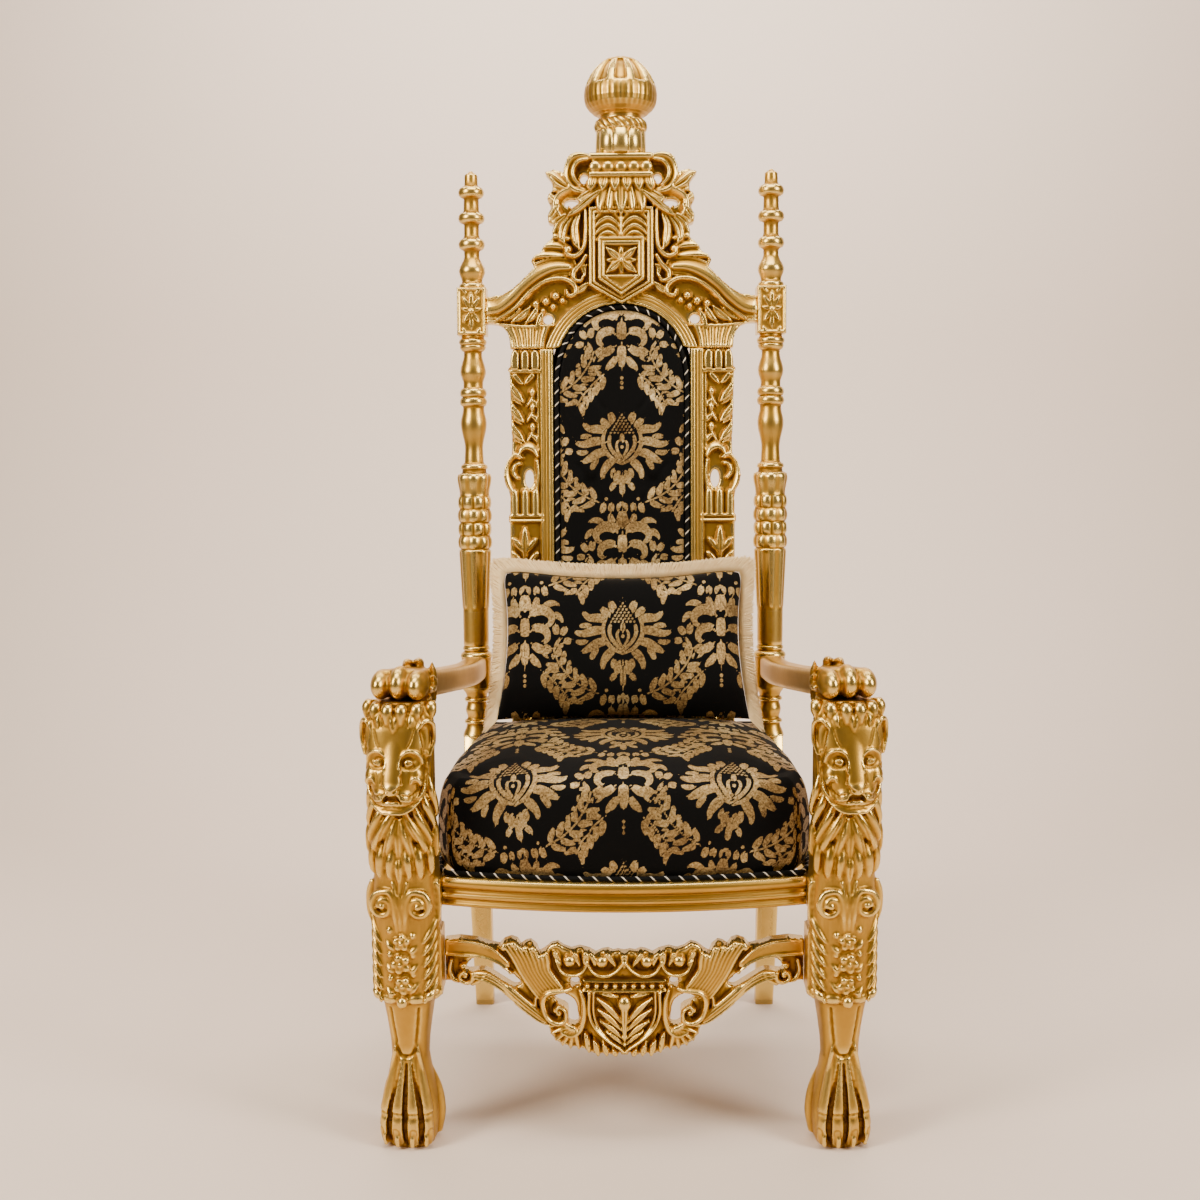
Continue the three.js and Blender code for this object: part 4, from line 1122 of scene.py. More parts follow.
# Levels are height, half width, half depth, middle y and squareness.
column = {
    "x": -352.0,
    "y": 48.0,
    "turn": math.radians(7.0),
    "girth": 46.0,
    "voxel": 2.0,
    "skinStep": 1.2,
    "faceStep": 0.9,
    "top": 741.7,
    "sole": 2.2,  # what lies lower is pressed flat on the floor
    "inner": -295.4,  # where the rails and the apron meet it
    "levels": [
        (0, 37, 34, -6, 2.4), (8, 42, 38, -4, 2.3), (22, 44, 38, -3, 2.3), (40, 46, 39, -3, 2.3),
        (62, 46, 39, -2, 2.3), (84, 43, 38, -2, 2.3), (104, 39, 36, -2, 2.3), (126, 34, 33, -2, 2.4),
        (148, 30, 30, 0, 2.5), (172, 31, 31, 1, 2.7), (200, 34, 34, 2, 3.0), (228, 38, 38, 3, 3.2),
        (244, 41, 41, 3, 3.2), (252, 49, 46, 2, 3), (300, 50, 47, 2, 2.9), (420, 54, 49, 2, 2.8),
        (470, 51, 47, 2, 2.6), (560, 47, 44, 3, 2.6), (700, 47, 43, 4, 2.6), (741.5, 43, 40, 4, 2.6),
    ],
    "head": [
        (568, 12, 14, -36, 2.2), (574, 23, 28, -43, 2.2), (584, 32, 37, -46, 2.2), (600, 38, 40, -45, 2.3),
        (620, 43, 42, -39, 2.4), (646, 49, 43, -31, 2.6), (674, 53, 42, -26, 2.8), (700, 53, 42, -21, 2.8),
        (720, 51, 41, -16, 2.6), (734, 47, 37, -9, 2.4), (741.4, 38, 30, -2, 2.2),
    ],
    "toes": (-34, -12.5, 12.5, 34),
}


def onColumn(points):
    c, s = math.cos(column["turn"]), math.sin(column["turn"])
    x, y, z = points[:, 0], points[:, 1], points[:, 2]
    return np.stack([x * c + y * s + column["x"], y * c - x * s + column["y"], z], 1)


def levelLoft(levels, sides=64):
    return loftRings([ovalRing(sides, 0, y, z, halfX, halfY, power) for z, halfX, halfY, y, power in levels])


def pawParts():
    parts = []
    for x in column["toes"]:
        f = -math.sqrt(1 - (x / 62) ** 2)
        r = 11.6 if abs(x) < 20 else 10.6
        parts.append(ribPart([
            [x * 0.35, 20 * f, 178, 2.5], [x * 0.5, 26 * f, 150, 6], [x * 0.78, 35 * f, 104, 8.6],
            [x * 0.97, 41 * f, 68, r], [x, 42 * f, 56, r - 1],
        ]))
        parts.append(ribPart([
            [x, 41 * f, 58, r - 2], [x, 44 * f, 44, r], [x, 43 * f, 26, r], [x * 0.97, 39 * f, 8, r - 2],
        ]))
        parts.append(ribPart([[x, 51 * f, 30, 3], [x, 54 * f, 20, 4.4], [x * 0.98, 51 * f, 6, 3.6]], 10))
    for side in (-1, 1):
        heel = [[27, 8, 126, 5], [39, 12, 84, 9.5], [44, 10, 46, 10.5], [39, 8, 10, 9.5]]
        parts.append(ribPart(flip(heel, side)))
        parts.append(ribPart(flip([[12, -26, 186, 2], [19, -28, 160, 3.6], [26, -28, 128, 3]], side), 10))
    return parts


def headParts():
    parts = [levelLoft(column["head"])]
    # Bridge of the nose: a narrow wedge that dies into the forehead, then the muzzle under it.
    bridge = [
        [0, -48, 712, 30], [0, -56, 688, 22], [0, -66, 664, 16], [0, -74, 644, 14.5], [0, -80, 626, 15],
        [0, -83, 614, 15],
    ]
    parts.append(ribPart(bridge, 24, flat=0.42))
    parts.append(ribPart([[0, -84, 618, 13], [0, -87, 610, 11], [0, -85, 602, 5]], 20, flat=0.5))
    parts.append(ballPart(0, -67, 603, 33, 17, 24, 36, 20))
    parts.append(ballPart(0, -64, 586, 33, 17, 18, 36, 20))
    for side in (-1, 1):
        parts.append(ballPart(side * 14, -74, 602, 15, 11, 11, 28, 16))
        parts.append(ballPart(side * 31, -58, 628, 17, 15, 20, 28, 16))
        ear = [
            (37, -53, 676, 2.4), (36, -54, 694, 3.6), (42, -52, 710, 4), (51, -45, 715, 4), (58, -35, 706, 4),
            (59, -34, 684, 3.8), (53, -43, 658, 2.2),
        ]
        parts.append(ribPart(flip(ear, side)))
        parts.append(ballPart(side * 26, -64, 652, 11, 7, 7.4, 24, 14))
        jaw = [
            (0, -80, 573, 3), (18, -76, 574, 3.4), (33, -66, 584, 3.6), (45, -51, 604, 3.4),
            (49, -44, 630, 2.4), (50, -43, 648, 1.2),
        ]
        parts.append(ribPart(flip(jaw, side), 12))
    # Two rows of short locks over the brow.
    for z0, z1, places in ((741, 711, (-51, -33, -11, 11, 33, 51)), (728, 694, (-23, 0, 23))):
        for x in places:
            deep = 8 + 50 * (1 - (abs(x) / 60) ** 2.4)
            parts.append(ribPart([
                [x * 0.94, -deep + 12, z0, 7], [x, -deep + 3, (z0 + z1) / 2 + 3, 10.5],
                [x * 1.02, -deep - 4, z1, 2],
            ], 14))
    return parts


# Long locks part under the chin, with pointed ones below and on the flanks.
def maneParts():
    parts = []
    for side in (-1, 1):
        for x0, x1, z0, z1, deep, r in (
            (8, 40, 568, 500, 47, 8.5), (22, 48, 580, 516, 44, 7.5), (36, 52, 596, 540, 36, 7),
            (3, 24, 556, 478, 48, 8), (44, 54, 620, 560, 24, 7.5),
        ):
            lock = [
                [x0, -deep + 5, z0, r * 0.5], [x0 * 0.55 + x1 * 0.45, -deep + 1, (z0 + z1) / 2 + 8, r],
                [x1, -deep + 8, z1 + 10, r * 0.8], [x1 + 1, -deep + 14, z1 - 8, 1.4],
            ]
            parts.append(ribPart(flip(lock, side), 12))
        for x, z0, z1, r in ((14, 506, 452, 8), (31, 512, 452, 9), (46, 520, 458, 8.5), (53, 556, 486, 8)):
            deep = 4 + 46 * math.sqrt(max(0.05, 1 - (x / 58) ** 2))
            lock = [
                [x - 4, -deep + 6, z0, r * 0.6], [x, -deep + 2, (z0 + z1) / 2 + 6, r],
                [x + 2, -deep + 4, z1 + 12, r * 0.7], [x - 1, -deep + 5, z1, 1.2],
            ]
            parts.append(ribPart(flip(lock, side), 12))
    parts.append(ribPart([[0, -42, 552, 3], [0, -45, 528, 8.5], [0, -45, 506, 7.5], [0, -45, 478, 1.5]], 14))
    parts.append(ribPart([[0, -42, 500, 3], [0, -45, 478, 9], [0, -46, 460, 6], [0, -45, 444, 1.4]], 14))
    return parts


# Three blooms that hang down the shin, with buds and leaves beside them.
def flowerParts():
    parts = []
    for row, (x, z, size) in enumerate(((1, 351, 1.0), (-1, 315, 1.15), (2, 279, 1.05))):
        parts.append(ballPart(x, -51, z, 4 * size, 4.4, 4 * size, 16, 10))
        for k in range(5):
            a = (k + 0.3 * row) * 2 * math.pi / 5 + 0.3
            c, s = math.cos(a), math.sin(a)
            parts.append(ballPart(x + 9 * size * c, -48, z + 9 * size * s, 5.9 * size, 5.2, 5.9 * size, 20, 12))
        for side in (-1, 1):
            up = 4 * (row - 1) * side
            parts.append(ballPart(side * 19, -45, z + 15 + up, 4.6, 4.6, 5.4, 16, 10))
            leaf = [[11, -46, z - 14, 1.6], [19, -45, z - 10 + up, 4.8], [27, -41, z + 1 + up, 1.2]]
            parts.append(ribPart(flip(leaf, side), 10))
    parts.append(ribPart([[0, -46, 262, 3], [0, -47, 250, 5.5], [0, -44, 238, 1.2]], 12))
    return parts


# Two big curls joined by upright reeds, with leaves that sweep down the sides.
def beltParts():
    parts = []
    for side in (-1, 1):
        turns = np.linspace(0, 2 * np.pi * 1.3, 22)
        spiral = []
        for k, a in enumerate(turns):
            radius = 20.5 - 14.5 * k / (len(turns) - 1)
            z = 412 + radius * math.cos(a) * 1.08
            spiral.append([29 + radius * math.sin(a), -43 - 6 * k / 21, z, 6.0 - 1.8 * k / 21])
        stem = [[5, -44, 366, 3], [8, -47, 392, 4.8], [10, -47, 416, 5.4], [18, -46, 434, 5.8]]
        parts.append(ribPart(flip(stem + spiral[1:], side), 12, steps=3))
        parts.append(ballPart(side * 29, -49, 412, 5.4, 6, 6, 16, 10))
        flank = [[53, -20, 446, 3], [57, -14, 424, 7.5], [56, -14, 394, 8], [50, -24, 372, 2.5]]
        parts.append(ribPart(flip(flank, side)))
        for k in range(6):
            z = 376 - 20 * k
            leaf = [[52, -16, z + 16, 2], [50, -24, z + 3, 5.2], [43, -36, z - 14, 4.4], [35, -43, z - 28, 1]]
            parts.append(ribPart(flip(leaf, side), 12))
    for x, foot in ((-7, 402), (0, 384), (7, 402)):
        parts.append(ribPart([
            [x * 0.3, -47, foot - 14, 1.6], [x * 0.7, -49, foot + 12, 3.4], [x * 1.7, -47, 450, 1.6],
        ], 10))
    return parts


# The twisted edge on the inner side of the shin.
def ropeEdgeParts():
    parts = []
    for k in range(17):
        z = 250 + k * 11.6
        parts.append(ribPart([[48, -22, z, 2], [53, -17, z + 7, 4.2], [55, -9, z + 14, 2]], 12))
    return parts


# Blocks that take the rails and the apron, on the inner side.
def shoulderParts():
    c, s = math.cos(column["turn"]), math.sin(column["turn"])
    parts = []
    for x0, x1, y0, y1, z0, z1 in (
        (-352, -295.3, 30, 92, 394, 446.6), (-352, -295.3, 22, 80, 254, 362), (-358, -312, 70, 104, 394, 446.6),
    ):
        points, faces = boxPart(x0, x1, y0, y1, z0, z1, 2.5)
        dx, dy = points[:, 0] - column["x"], points[:, 1] - column["y"]
        points = np.stack([dx * c - dy * s, dy * c + dx * s, points[:, 2]], 1)
        parts.append((points, faces))
    return parts


# Grooves and ridges over the trunk: the canvas is unrolled round the axis.
def skinRelief():
    k = Relief(-100, 100, 0, 744, column["skinStep"])
    # Deep gaps between the toes, and the soft panel that frames the tendons.
    k.groove([[0, 4, 2.6], [0, 60, 3.0], [0, 104, 3], [0, 140, 1.5]], -7.5)
    for side in (-1, 1):
        k.groove(flip([[23, 4, 2.6], [23, 60, 3.0], [19, 100, 3], [13, 140, 1.5]], side), -7.5)
        panel = [[2, 152, 3.4], [13, 155, 3.8], [22, 172, 3.8], [26, 204, 3.6], [27, 238, 2.6]]
        k.groove(flip(panel, side), -3.6)
        for x, top in ((54, 690), (66, 680), (80, 690)):
            k.groove(flip([[x, top, 2], [x + 3, 640, 2.6], [x - 4, 590, 1]], side), -2.0)
        # Knuckle creases and claws.
        for x in (12, 35):
            k.groove(flip([[x - 8, 60, 1.4], [x, 63, 1.8], [x + 8, 60, 1.4]], side), -1.8)
            k.groove(flip([
                [x - 5, 26, 1.0], [x - 4, 34, 1.2], [x, 37, 1.3], [x + 4, 34, 1.2], [x + 5, 26, 1.0],
            ], side), -1.4)
        # Ridges along the middle of each lock on the chest.
        for x0, x1, z0, z1 in (
            (14, 30, 552, 506), (30, 44, 566, 522), (10, 21, 540, 490), (18, 20, 500, 460),
            (37, 39, 502, 462), (57, 60, 512, 470),
        ):
            k.groove(flip([[x0, z0, 0.8], [(x0 + x1) / 2, (z0 + z1) / 2, 1.3], [x1, z1, 0.8]], side), -1.8)
    for z0, z1 in ((540, 490), (490, 456)):
        k.groove([[0, z0, 0.8], [0, (z0 + z1) / 2, 1.4], [0, z1, 0.8]], -1.8)
    # The scalloped lip of the shin.
    for x in (-66, -44, -22, 0, 22, 44, 66):
        k.bead(x, 257 - 6 * math.cos(x / 22), 12, 4.0, 0, 0.75)
    return k


def faceRelief():
    f = Relief(0, 66, 560, 744, column["faceStep"])
    # Eye: a bowl under an arched brow that runs into the nose, with a ringed ball in it.
    f.groove([[23, 653, 13], [29, 653, 13]], -4.5)
    f.groove([
        [14, 636, 1.6], [12, 652, 2.4], [18, 667, 2.8], [30, 670, 2.8], [41, 662, 2.4], [45, 648, 1.4],
    ], 2.8)
    f.groove([[24, 652, 6.4], [28, 652, 6.4]], 5.0)
    f.groove([[18, 647, 1.3], [18, 656, 1.5], [26, 660, 1.6], [34, 656, 1.5], [34, 647, 1.3]], -2.2)
    f.groove([[25, 652, 2.4], [27, 652, 2.4]], -2.0)
    # The side of the nose, the nostril and the open mouth.
    f.groove([[16, 664, 1.2], [14, 650, 1.6], [15, 634, 1.8], [18, 620, 1.4]], -1.8)
    f.groove([[5, 609, 1.8], [10, 612, 2.4], [15, 617, 1.4]], -3.6)
    f.groove([[0, 597, 5.6], [8, 597, 4.4], [15, 591, 1.0]], -9.0, "flat")
    # The lip: a curl on the cheek, and a smile that runs up to the ear.
    f.groove([
        [14, 597, 2.4], [28, 593, 3.2], [40, 600, 3.4], [45, 613, 3.4], [41, 626, 3], [33, 628, 2.6],
        [29, 621, 2],
    ], 3.0)
    f.groove([[18, 604, 1.6], [30, 601, 2], [38, 608, 2], [38, 618, 1.8], [34, 620, 1.4]], -3.0)
    f.groove([[2, 584, 1.6], [20, 583, 1.8], [36, 589, 2], [49, 604, 2], [50, 628, 1.8], [45, 646, 1.2]], -3.0)
    f.groove([[44, 674, 1.4], [48, 656, 1.8], [50, 638, 1.2]], -2.2)
    # Ear.
    f.groove([[45, 700, 5.0], [49, 688, 6.4], [49, 668, 2]], -7.0)
    f.groove([[32, 702, 1.2], [28, 686, 1.6], [22, 674, 1.0]], -1.8)
    # The grooves that part the locks over the brow.
    for x in (0, 22, 42):
        f.groove([[x, 742, 1.4], [x * 1.02, 722, 1.8], [x * 1.02, 706, 1.0]], -3.0)
    return f


def columnPiece():
    parts = [levelLoft(column["levels"])] + pawParts() + headParts() + maneParts() + flowerParts() + beltParts()
    parts += ropeEdgeParts() + shoulderParts()
    points, normals, faces = sculpted(parts, column["voxel"], 1)
    x, y, z = points.T
    around = np.arctan2(x, -(y - 2)) * column["girth"]
    skin = skinRelief().sample(around, z)
    facing = np.clip(-normals[:, 1] * 1.6, 0, 1) * np.clip((-40 - y) / 8, 0, 1)
    visage = faceRelief().sample(np.abs(x), z) * facing
    points = points + normals * np.where(np.abs(visage) > 0.02, visage, skin)[:, None]
    points[:, 2] = np.clip(points[:, 2], 0.0, column["top"])
    low = points[:, 2] < column["sole"]
    points[low, 2] = 0.0
    placed = onColumn(points)
    placed[:, 0] = np.minimum(placed[:, 0], column["inner"])
    return placed, faces


print("columns")
part = columnPiece()
goldPiece("frontLegLeft", part, ["front_leg_left"], 14, 2.2, 0.5)
goldPiece("frontLegRight", mirroredPart(part), ["front_leg_right"], 14, 2.2, 0.5)


# Stations are x, y, z, half width and half height from the post to the lion's head.
arm = {
    "stations": [
        (-280, 560, 699, 21, 23), (-281, 545, 700, 22, 23), (-287, 462, 704, 22, 22), (-300, 376, 713, 23, 22),
        (-316, 268, 728, 24, 22), (-331, 164, 744, 26, 23), (-342, 98, 757, 30, 25), (-349, 50, 767, 38, 22),
        (-352, 30, 768, 36, 22),
    ],
    "square": 5.0,
    "voxel": 2.5,
    "sides": 64,
    "lobes": (-29, 0, 29),
    "rest": 742.0,  # top of the column that it lies on
    "postX": -280.0,
    "postY": 554.1,
    "postZ": 700.0,
    "postRadius": 30.4,
}


def armPiece():
    path = smoothPath(arm["stations"], 10)
    sides = arm["sides"]
    turn = (np.arange(sides) + 0.5) * 2 * np.pi / sides
    c, s = np.cos(turn), np.sin(turn)
    cx = np.sign(c) * np.abs(c) ** (2 / arm["square"])
    cz = np.sign(s) * np.abs(s) ** (2 / arm["square"])
    rings = [np.stack([x + hx * cx, np.full(sides, y), z + hz * cz], 1) for x, y, z, hx, hz in path]
    parts = [facingOut(*loftRings(rings))]
    for x in arm["lobes"]:
        drop = 3 if x else 0
        knuckle = ballPart(x, -14, 769 - drop, 16.8, 37, 27 - drop, 32, 22)
        parts.append((onColumn(knuckle[0]), knuckle[1]))
    # Leaves that curl up behind the lobes and down the inner side.
    for x0, y0, z0, x1, y1, z1, r in (
        (-318, 128, 722, -307, 72, 796, 9), (-318, 118, 726, -303, 58, 776, 9),
        (-318, 108, 738, -304, 48, 756, 8),
        (-338, 122, 768, -328, 66, 800, 9), (-352, 114, 770, -348, 62, 798, 9),
        (-318, 122, 712, -306, 88, 738, 7),
        (-320, 150, 742, -313, 112, 776, 7), (-322, 96, 744, -309, 66, 748, 6),
    ):
        middle = [(x0 + x1) / 2 + 2, (y0 + y1) / 2, (z0 + z1) / 2 + 5, r]
        parts.append(ribPart([[x0, y0, z0, 3], middle, [x1, y1, z1, 1.6]], 14))
    points, _, faces = sculpted(parts, arm["voxel"], 3)
    over = (points[:, 1] > -60) & (points[:, 1] < 110)
    points[over, 2] = np.maximum(points[over, 2], arm["rest"])
    return clearOfPost(points), faces


# The rear end is hollowed to sit against the round post.
def clearOfPost(points):
    radius = arm["postRadius"]
    axisY = arm["postY"] + (points[:, 2] - arm["postZ"]) * math.tan(shared["lean"])
    dx, dy = points[:, 0] - arm["postX"], points[:, 1] - axisY
    gap = np.hypot(dx, dy)
    near = (dy > -radius) & ((gap < radius) | (dy > 0))
    points = points.copy()
    points[near, 1] = (axisY - np.sqrt(np.maximum(radius**2 - np.clip(dx, -radius, radius) ** 2, 0)))[near]
    return points


print("arms")
part = armPiece()
goldPiece("armLeft", part, ["arm_left"], 12, 2.4, 0.6)
goldPiece("armRight", mirroredPart(part), ["arm_right"], 12, 2.4, 0.6)


rail = {"low": 398, "high": 447, "half": 294.6, "front": 50, "stations": 90}


def bowedRail():
    section = [(0, 398), (-3, 399)]
    for z, y in (
        (401, -5), (404, -5), (408, -1.5), (411, -1.5), (414, -6), (419, -7), (423, -3), (427, -2), (430, -6),
    ):
        section.append((y, z))
    section += [(-9, 434), (-10, 438), (-9, 442), (-6, 446), (-3, 447), (32, 447), (32, 398)]
    line = smoothPath([[y, z] for y, z in section[:-3]], 4)
    line = np.concatenate([line, [[6, 447], [32, 447], [32, 398]]])
    rings = []
    for x in np.linspace(-rail["half"], rail["half"], rail["stations"]):
        y = rail["front"] + bowAt(x) + line[:, 0]
        rings.append(np.stack([np.full(len(line), x), y, line[:, 1]], 1))
    return facingOut(*loftRings(rings))


# A flat board of any plan, with softened arrises.
def planPrism(corners, z0, z1, bevel=1.5):
    ring = np.array(corners, dtype=float)
    middle = ring.mean(0)
    rings = []
    for z, inset in ((z0, bevel), (z0 + bevel, 0.0), (z1 - bevel, 0.0), (z1, bevel)):
        away = ring - middle
        moved = ring - away / (np.abs(away).max() + 1e-9) * inset
        rings.append(np.column_stack([moved, np.full(len(ring), z)]))
    return facingOut(*loftRings(rings))


print("rails")
goldPiece("frontSeatRail", bowedRail(), ["front_seat_rail"], 6, 1.6)
plan = [(-352, 104.3), (-320, 104.3), (-262, 511), (-294, 511)]
sideRail = planPrism(plan, rail["low"], rail["high"], 2.0)
goldPiece("sideRailLeft", sideRail, ["side_seat_rail_left"])
goldPiece("sideRailRight", mirroredPart(sideRail), ["side_seat_rail_right"])
rearRail = boxPart(-256.2, 256.2, 518, 552, rail["low"], rail["high"], 2.0)
goldPiece("rearSeatRail", rearRail, ["rear_seat_rail"])
plan = [(-292, 100), (292, 100), (250, 510), (-250, 510)]
points, faces = planPrism(plan, 402, 410, 0.6)
makePiece("seatBoard", points, faces, dustCloth, ["seat_board"], None, False)


apron = {
    "step": 1.8,
    "front": 70.0,
    "back": 86.0,
    "eye": (-80, 275, 8, 8, 20),
    "edge": [
        (0, 324), (-10, 326), (-18, 324), (-26, 328), (-36, 326), (-46, 321), (-56, 327), (-72, 331),
        (-86, 327),
        (-98, 331), (-108, 338), (-118, 335), (-130, 325), (-138, 320), (-142, 331), (-152, 339), (-160, 337),
        (-168, 331), (-174, 340), (-184, 343), (-196, 338), (-204, 329), (-222, 332), (-240, 337), (-270, 338),
        (-294.6, 333), (-294.6, 262), (-264, 262), (-250, 256.5), (-242, 259), (-234, 264), (-212, 262),
        (-194, 251), (-180, 238), (-165, 224), (-150, 212), (-136, 202), (-124, 198), (-121, 184), (-108, 170),
        (-90, 163), (-70, 162), (-58, 155), (-44, 151), (-30, 153), (-20, 150), (-8, 154), (0, 156),
    ],
    "slot": [
        (-262, 290), (-250, 303), (-232, 307), (-206, 301), (-185, 285), (-168, 269), (-179, 262), (-200, 273),
        (-228, 287), (-256, 283),
    ],
    "kidney": [
        (-115, 248), (-98, 253), (-81, 243), (-76, 224), (-76, 204), (-91, 206), (-92, 230), (-110, 240),
    ],
}


def apronRelief():
    a = Relief(0, 296, 148, 346, apron["step"])
    a.h += 2.0
    # Plain band along the top, by the column.
    a.stroke([[296, 322, 13], [262, 324, 13], [236, 322, 11], [210, 314, 8], [190, 300, 5]], 9, "flat", 2)
    a.stroke([[296, 334, 3], [250, 335, 3], [222, 330, 3], [205, 320, 3], [188, 304, 2.5]], 12, "round", 3)
    a.stroke([[296, 311, 3], [262, 312, 3], [232, 311, 3], [206, 303, 3], [184, 287, 2.5]], 12, "round", 3)
    # The lower scroll beneath the slot, in fine reeds, with its curl by the column.
    for k in range(4):
        t = 6.2 * k
        a.stroke([
            [250, 287 - t * 0.6, 2], [228, 290 - t, 3.4], [204, 280 - t * 1.05, 3.6],
            [186, 264 - t * 1.05, 3.6],
            [164, 245 - t, 3.5], [143, 228 - t * 0.9, 3.2], [128, 213 - t * 0.5, 2],
        ], 10 + 1.2 * (k % 2), "round", 4)
    a.stroke([[284, 300, 4], [287, 282, 5], [280, 268, 5], [268, 265, 3]], 9, "round", 3)
    curl(a, 262, 276, 17, 1.3, 1.4, 1, 6, 11, 4)
    # A fan of long reeds falls from the scalloped edge and sweeps inward.
    for k in range(9):
        t = k / 8
        a.stroke([
            [126 + 72 * t, 326 + 12 * t, 3.5], [124 + 58 * t, 312 + 4 * t, 5.6],
            [122 + 44 * t, 296 - 10 * t, 5.4],
            [108 + 36 * t, 276 - 22 * t, 4.6], [100 + 28 * t, 266 - 24 * t, 2],
        ], 13 - 3 * abs(t - 0.4), "round", 3)
    for x, z in ((146, 333), (163, 334), (180, 339), (197, 333)):
        a.bead(x, z - 3, 7, 9, 6)
    # Cups and swags along the top edge.
    for x in (36, 89):
        a.bead(x, 312, 10.5, 12, 6)
    for swag in (
        [[0, 313, 3], [14, 297, 3.6], [32, 289, 3.8], [50, 295, 3.6], [61, 313, 2.4]],
        [[59, 312, 2.4], [69, 295, 3.6], [85, 289, 3.8], [101, 295, 3.6], [110, 313, 2.4]],
    ):
        a.stroke(swag, 14, "round", 5)
    for x0, x1 in ((14, 27), (47, 52), (72, 80), (102, 112)):
        a.stroke([[x1, 323, 5], [(x0 + x1) / 2, 314, 4.4], [x0, 305, 1.4]], 9, "leaf", 5)
    for x in (0, 62):
        a.stroke([[x, 328, 4], [x, 316, 7], [x, 300, 1.4]], 12, "leaf", 5)
    for z in (279, 262.6):
        a.stroke([[0, z, 1.9], [66, z, 1.9]], 8, "round", 6)
    for x in range(0, 61, 15):
        a.bead(x, 270.6, 5.2, 9, 6)
    # The shield of the palmette: two bands round a bud and its sprays.
    for x, hw in ((57, 3.2), (50, 2.4)):
        k = x / 57
        a.stroke([
            [x, 260, hw], [x, 224, hw], [47 * k, 200, hw], [27 * k, 180, hw], [8 * k, 167, hw],
            [0, 158, hw * 0.7],
        ], 14 if hw > 3 else 10, "round", 5)
    a.bead(0, 240, 11.5, 12, 6, 1.25)
    a.stroke([[0, 238, 7], [0, 210, 6], [0, 172, 1.2]], 12, "leaf", 6)
    for x0, z0, x1, z1, x2, z2, w in (
        (2, 206, 24, 232, 45, 251, 6), (2, 194, 24, 216, 44, 232, 6), (2, 182, 22, 200, 40, 212, 5.4),
        (2, 172, 16, 184, 30, 194, 4.4),
    ):
        a.stroke([[x0, z0, 2], [x1, z1, w], [x2, z2, 1.2]], 10, "leaf", 5)
    a.stroke([[12, 252, 2], [25, 256, 4.4], [40, 258, 1.2]], 9, "leaf", 5)
    # Volute beside the shield, round the opening, and the upright beside it.
    a.stroke([
        [72, 276, 3], [95, 264, 5], [124, 258, 6], [133, 240, 6], [126, 217, 6], [111, 207, 5.6], [97, 212, 5],
        [95, 227, 4.6], [105, 236, 4.4], [113, 229, 4],
    ], 16, "round", 4)
    a.stroke([[119, 262, 2], [141, 252, 2.8], [144, 232, 2.6], [133, 210, 2.4], [118, 200, 2]], 9, "round", 4)
    a.bead(107, 225, 6.5, 12, 7)
    a.stroke([
        [72, 264, 3], [66, 244, 5], [66, 216, 6], [74, 194, 6], [88, 186, 5], [102, 192, 3.6],
    ], 13, "round", 4)
    # Fan of reeds at the foot, and the lobes under it.
    for x1, z1, x2, z2 in (
        (102, 205, 122, 201), (101, 198, 120, 190), (98, 190, 112, 178), (93, 184, 101, 170),
        (86, 180, 88, 165),
        (78, 180, 74, 164),
    ):
        a.stroke([[82, 203, 3], [x1, z1, 5.2], [x2, z2, 2.2]], 12, "round", 4)
    for x0, z0, x1, z1, x2, z2, w in (
        (64, 190, 60, 174, 58, 160, 6.5), (50, 178, 46, 166, 43, 154, 6.5), (34, 172, 31, 163, 29, 154, 6.5),
        (18, 164, 16, 158, 14, 152, 6), (4, 162, 3, 158, 2, 154, 4.4),
    ):
        a.stroke([[x0, z0, 2.5], [x1, z1, w], [x2, z2, 3]], 12, "leaf", 4)
    a.groove([[55, 186, 1.2], [54, 176, 3.2], [53, 166, 1.2]], -6)
    return a


print("apron")
relief = apronRelief()
leftEdge = apron["edge"]
outline = leftEdge + [(-x, z) for x, z in leftEdge[:0:-1]]
loops = [outline]
for hole in (apron["slot"], apron["kidney"], [tuple(p) for p in oval(*apron["eye"])]):
    loops += [hole, [(-x, z) for x, z in hole]]
loops = [smoothPath(list(loop) + [loop[0]], 3)[:-1] if len(loop) < 12 else loop for loop in loops]
points, faces = reliefPlate(relief, loops, apron["front"], apron["back"], 4.0)
goldPiece("frontApron", (bowed(points), faces), ["front_apron"], 12, 2.2, 0.6)


# Strokes are points of x, z and half width, drawn once and mirrored.
damaskSizes = {
    "halfWide": 178.0,
    "halfTall": 198.0,
    "step": 1.0,
    "gap": 1.6,  # bare cloth round each leaf
    "away": -8.0,  # the value far from any leaf
    "dot": 3.4,
    "seed": 2.3,
    "seedRows": 7,
    "seedApart": 3.5,
    "seedDrop": 5.6,
}

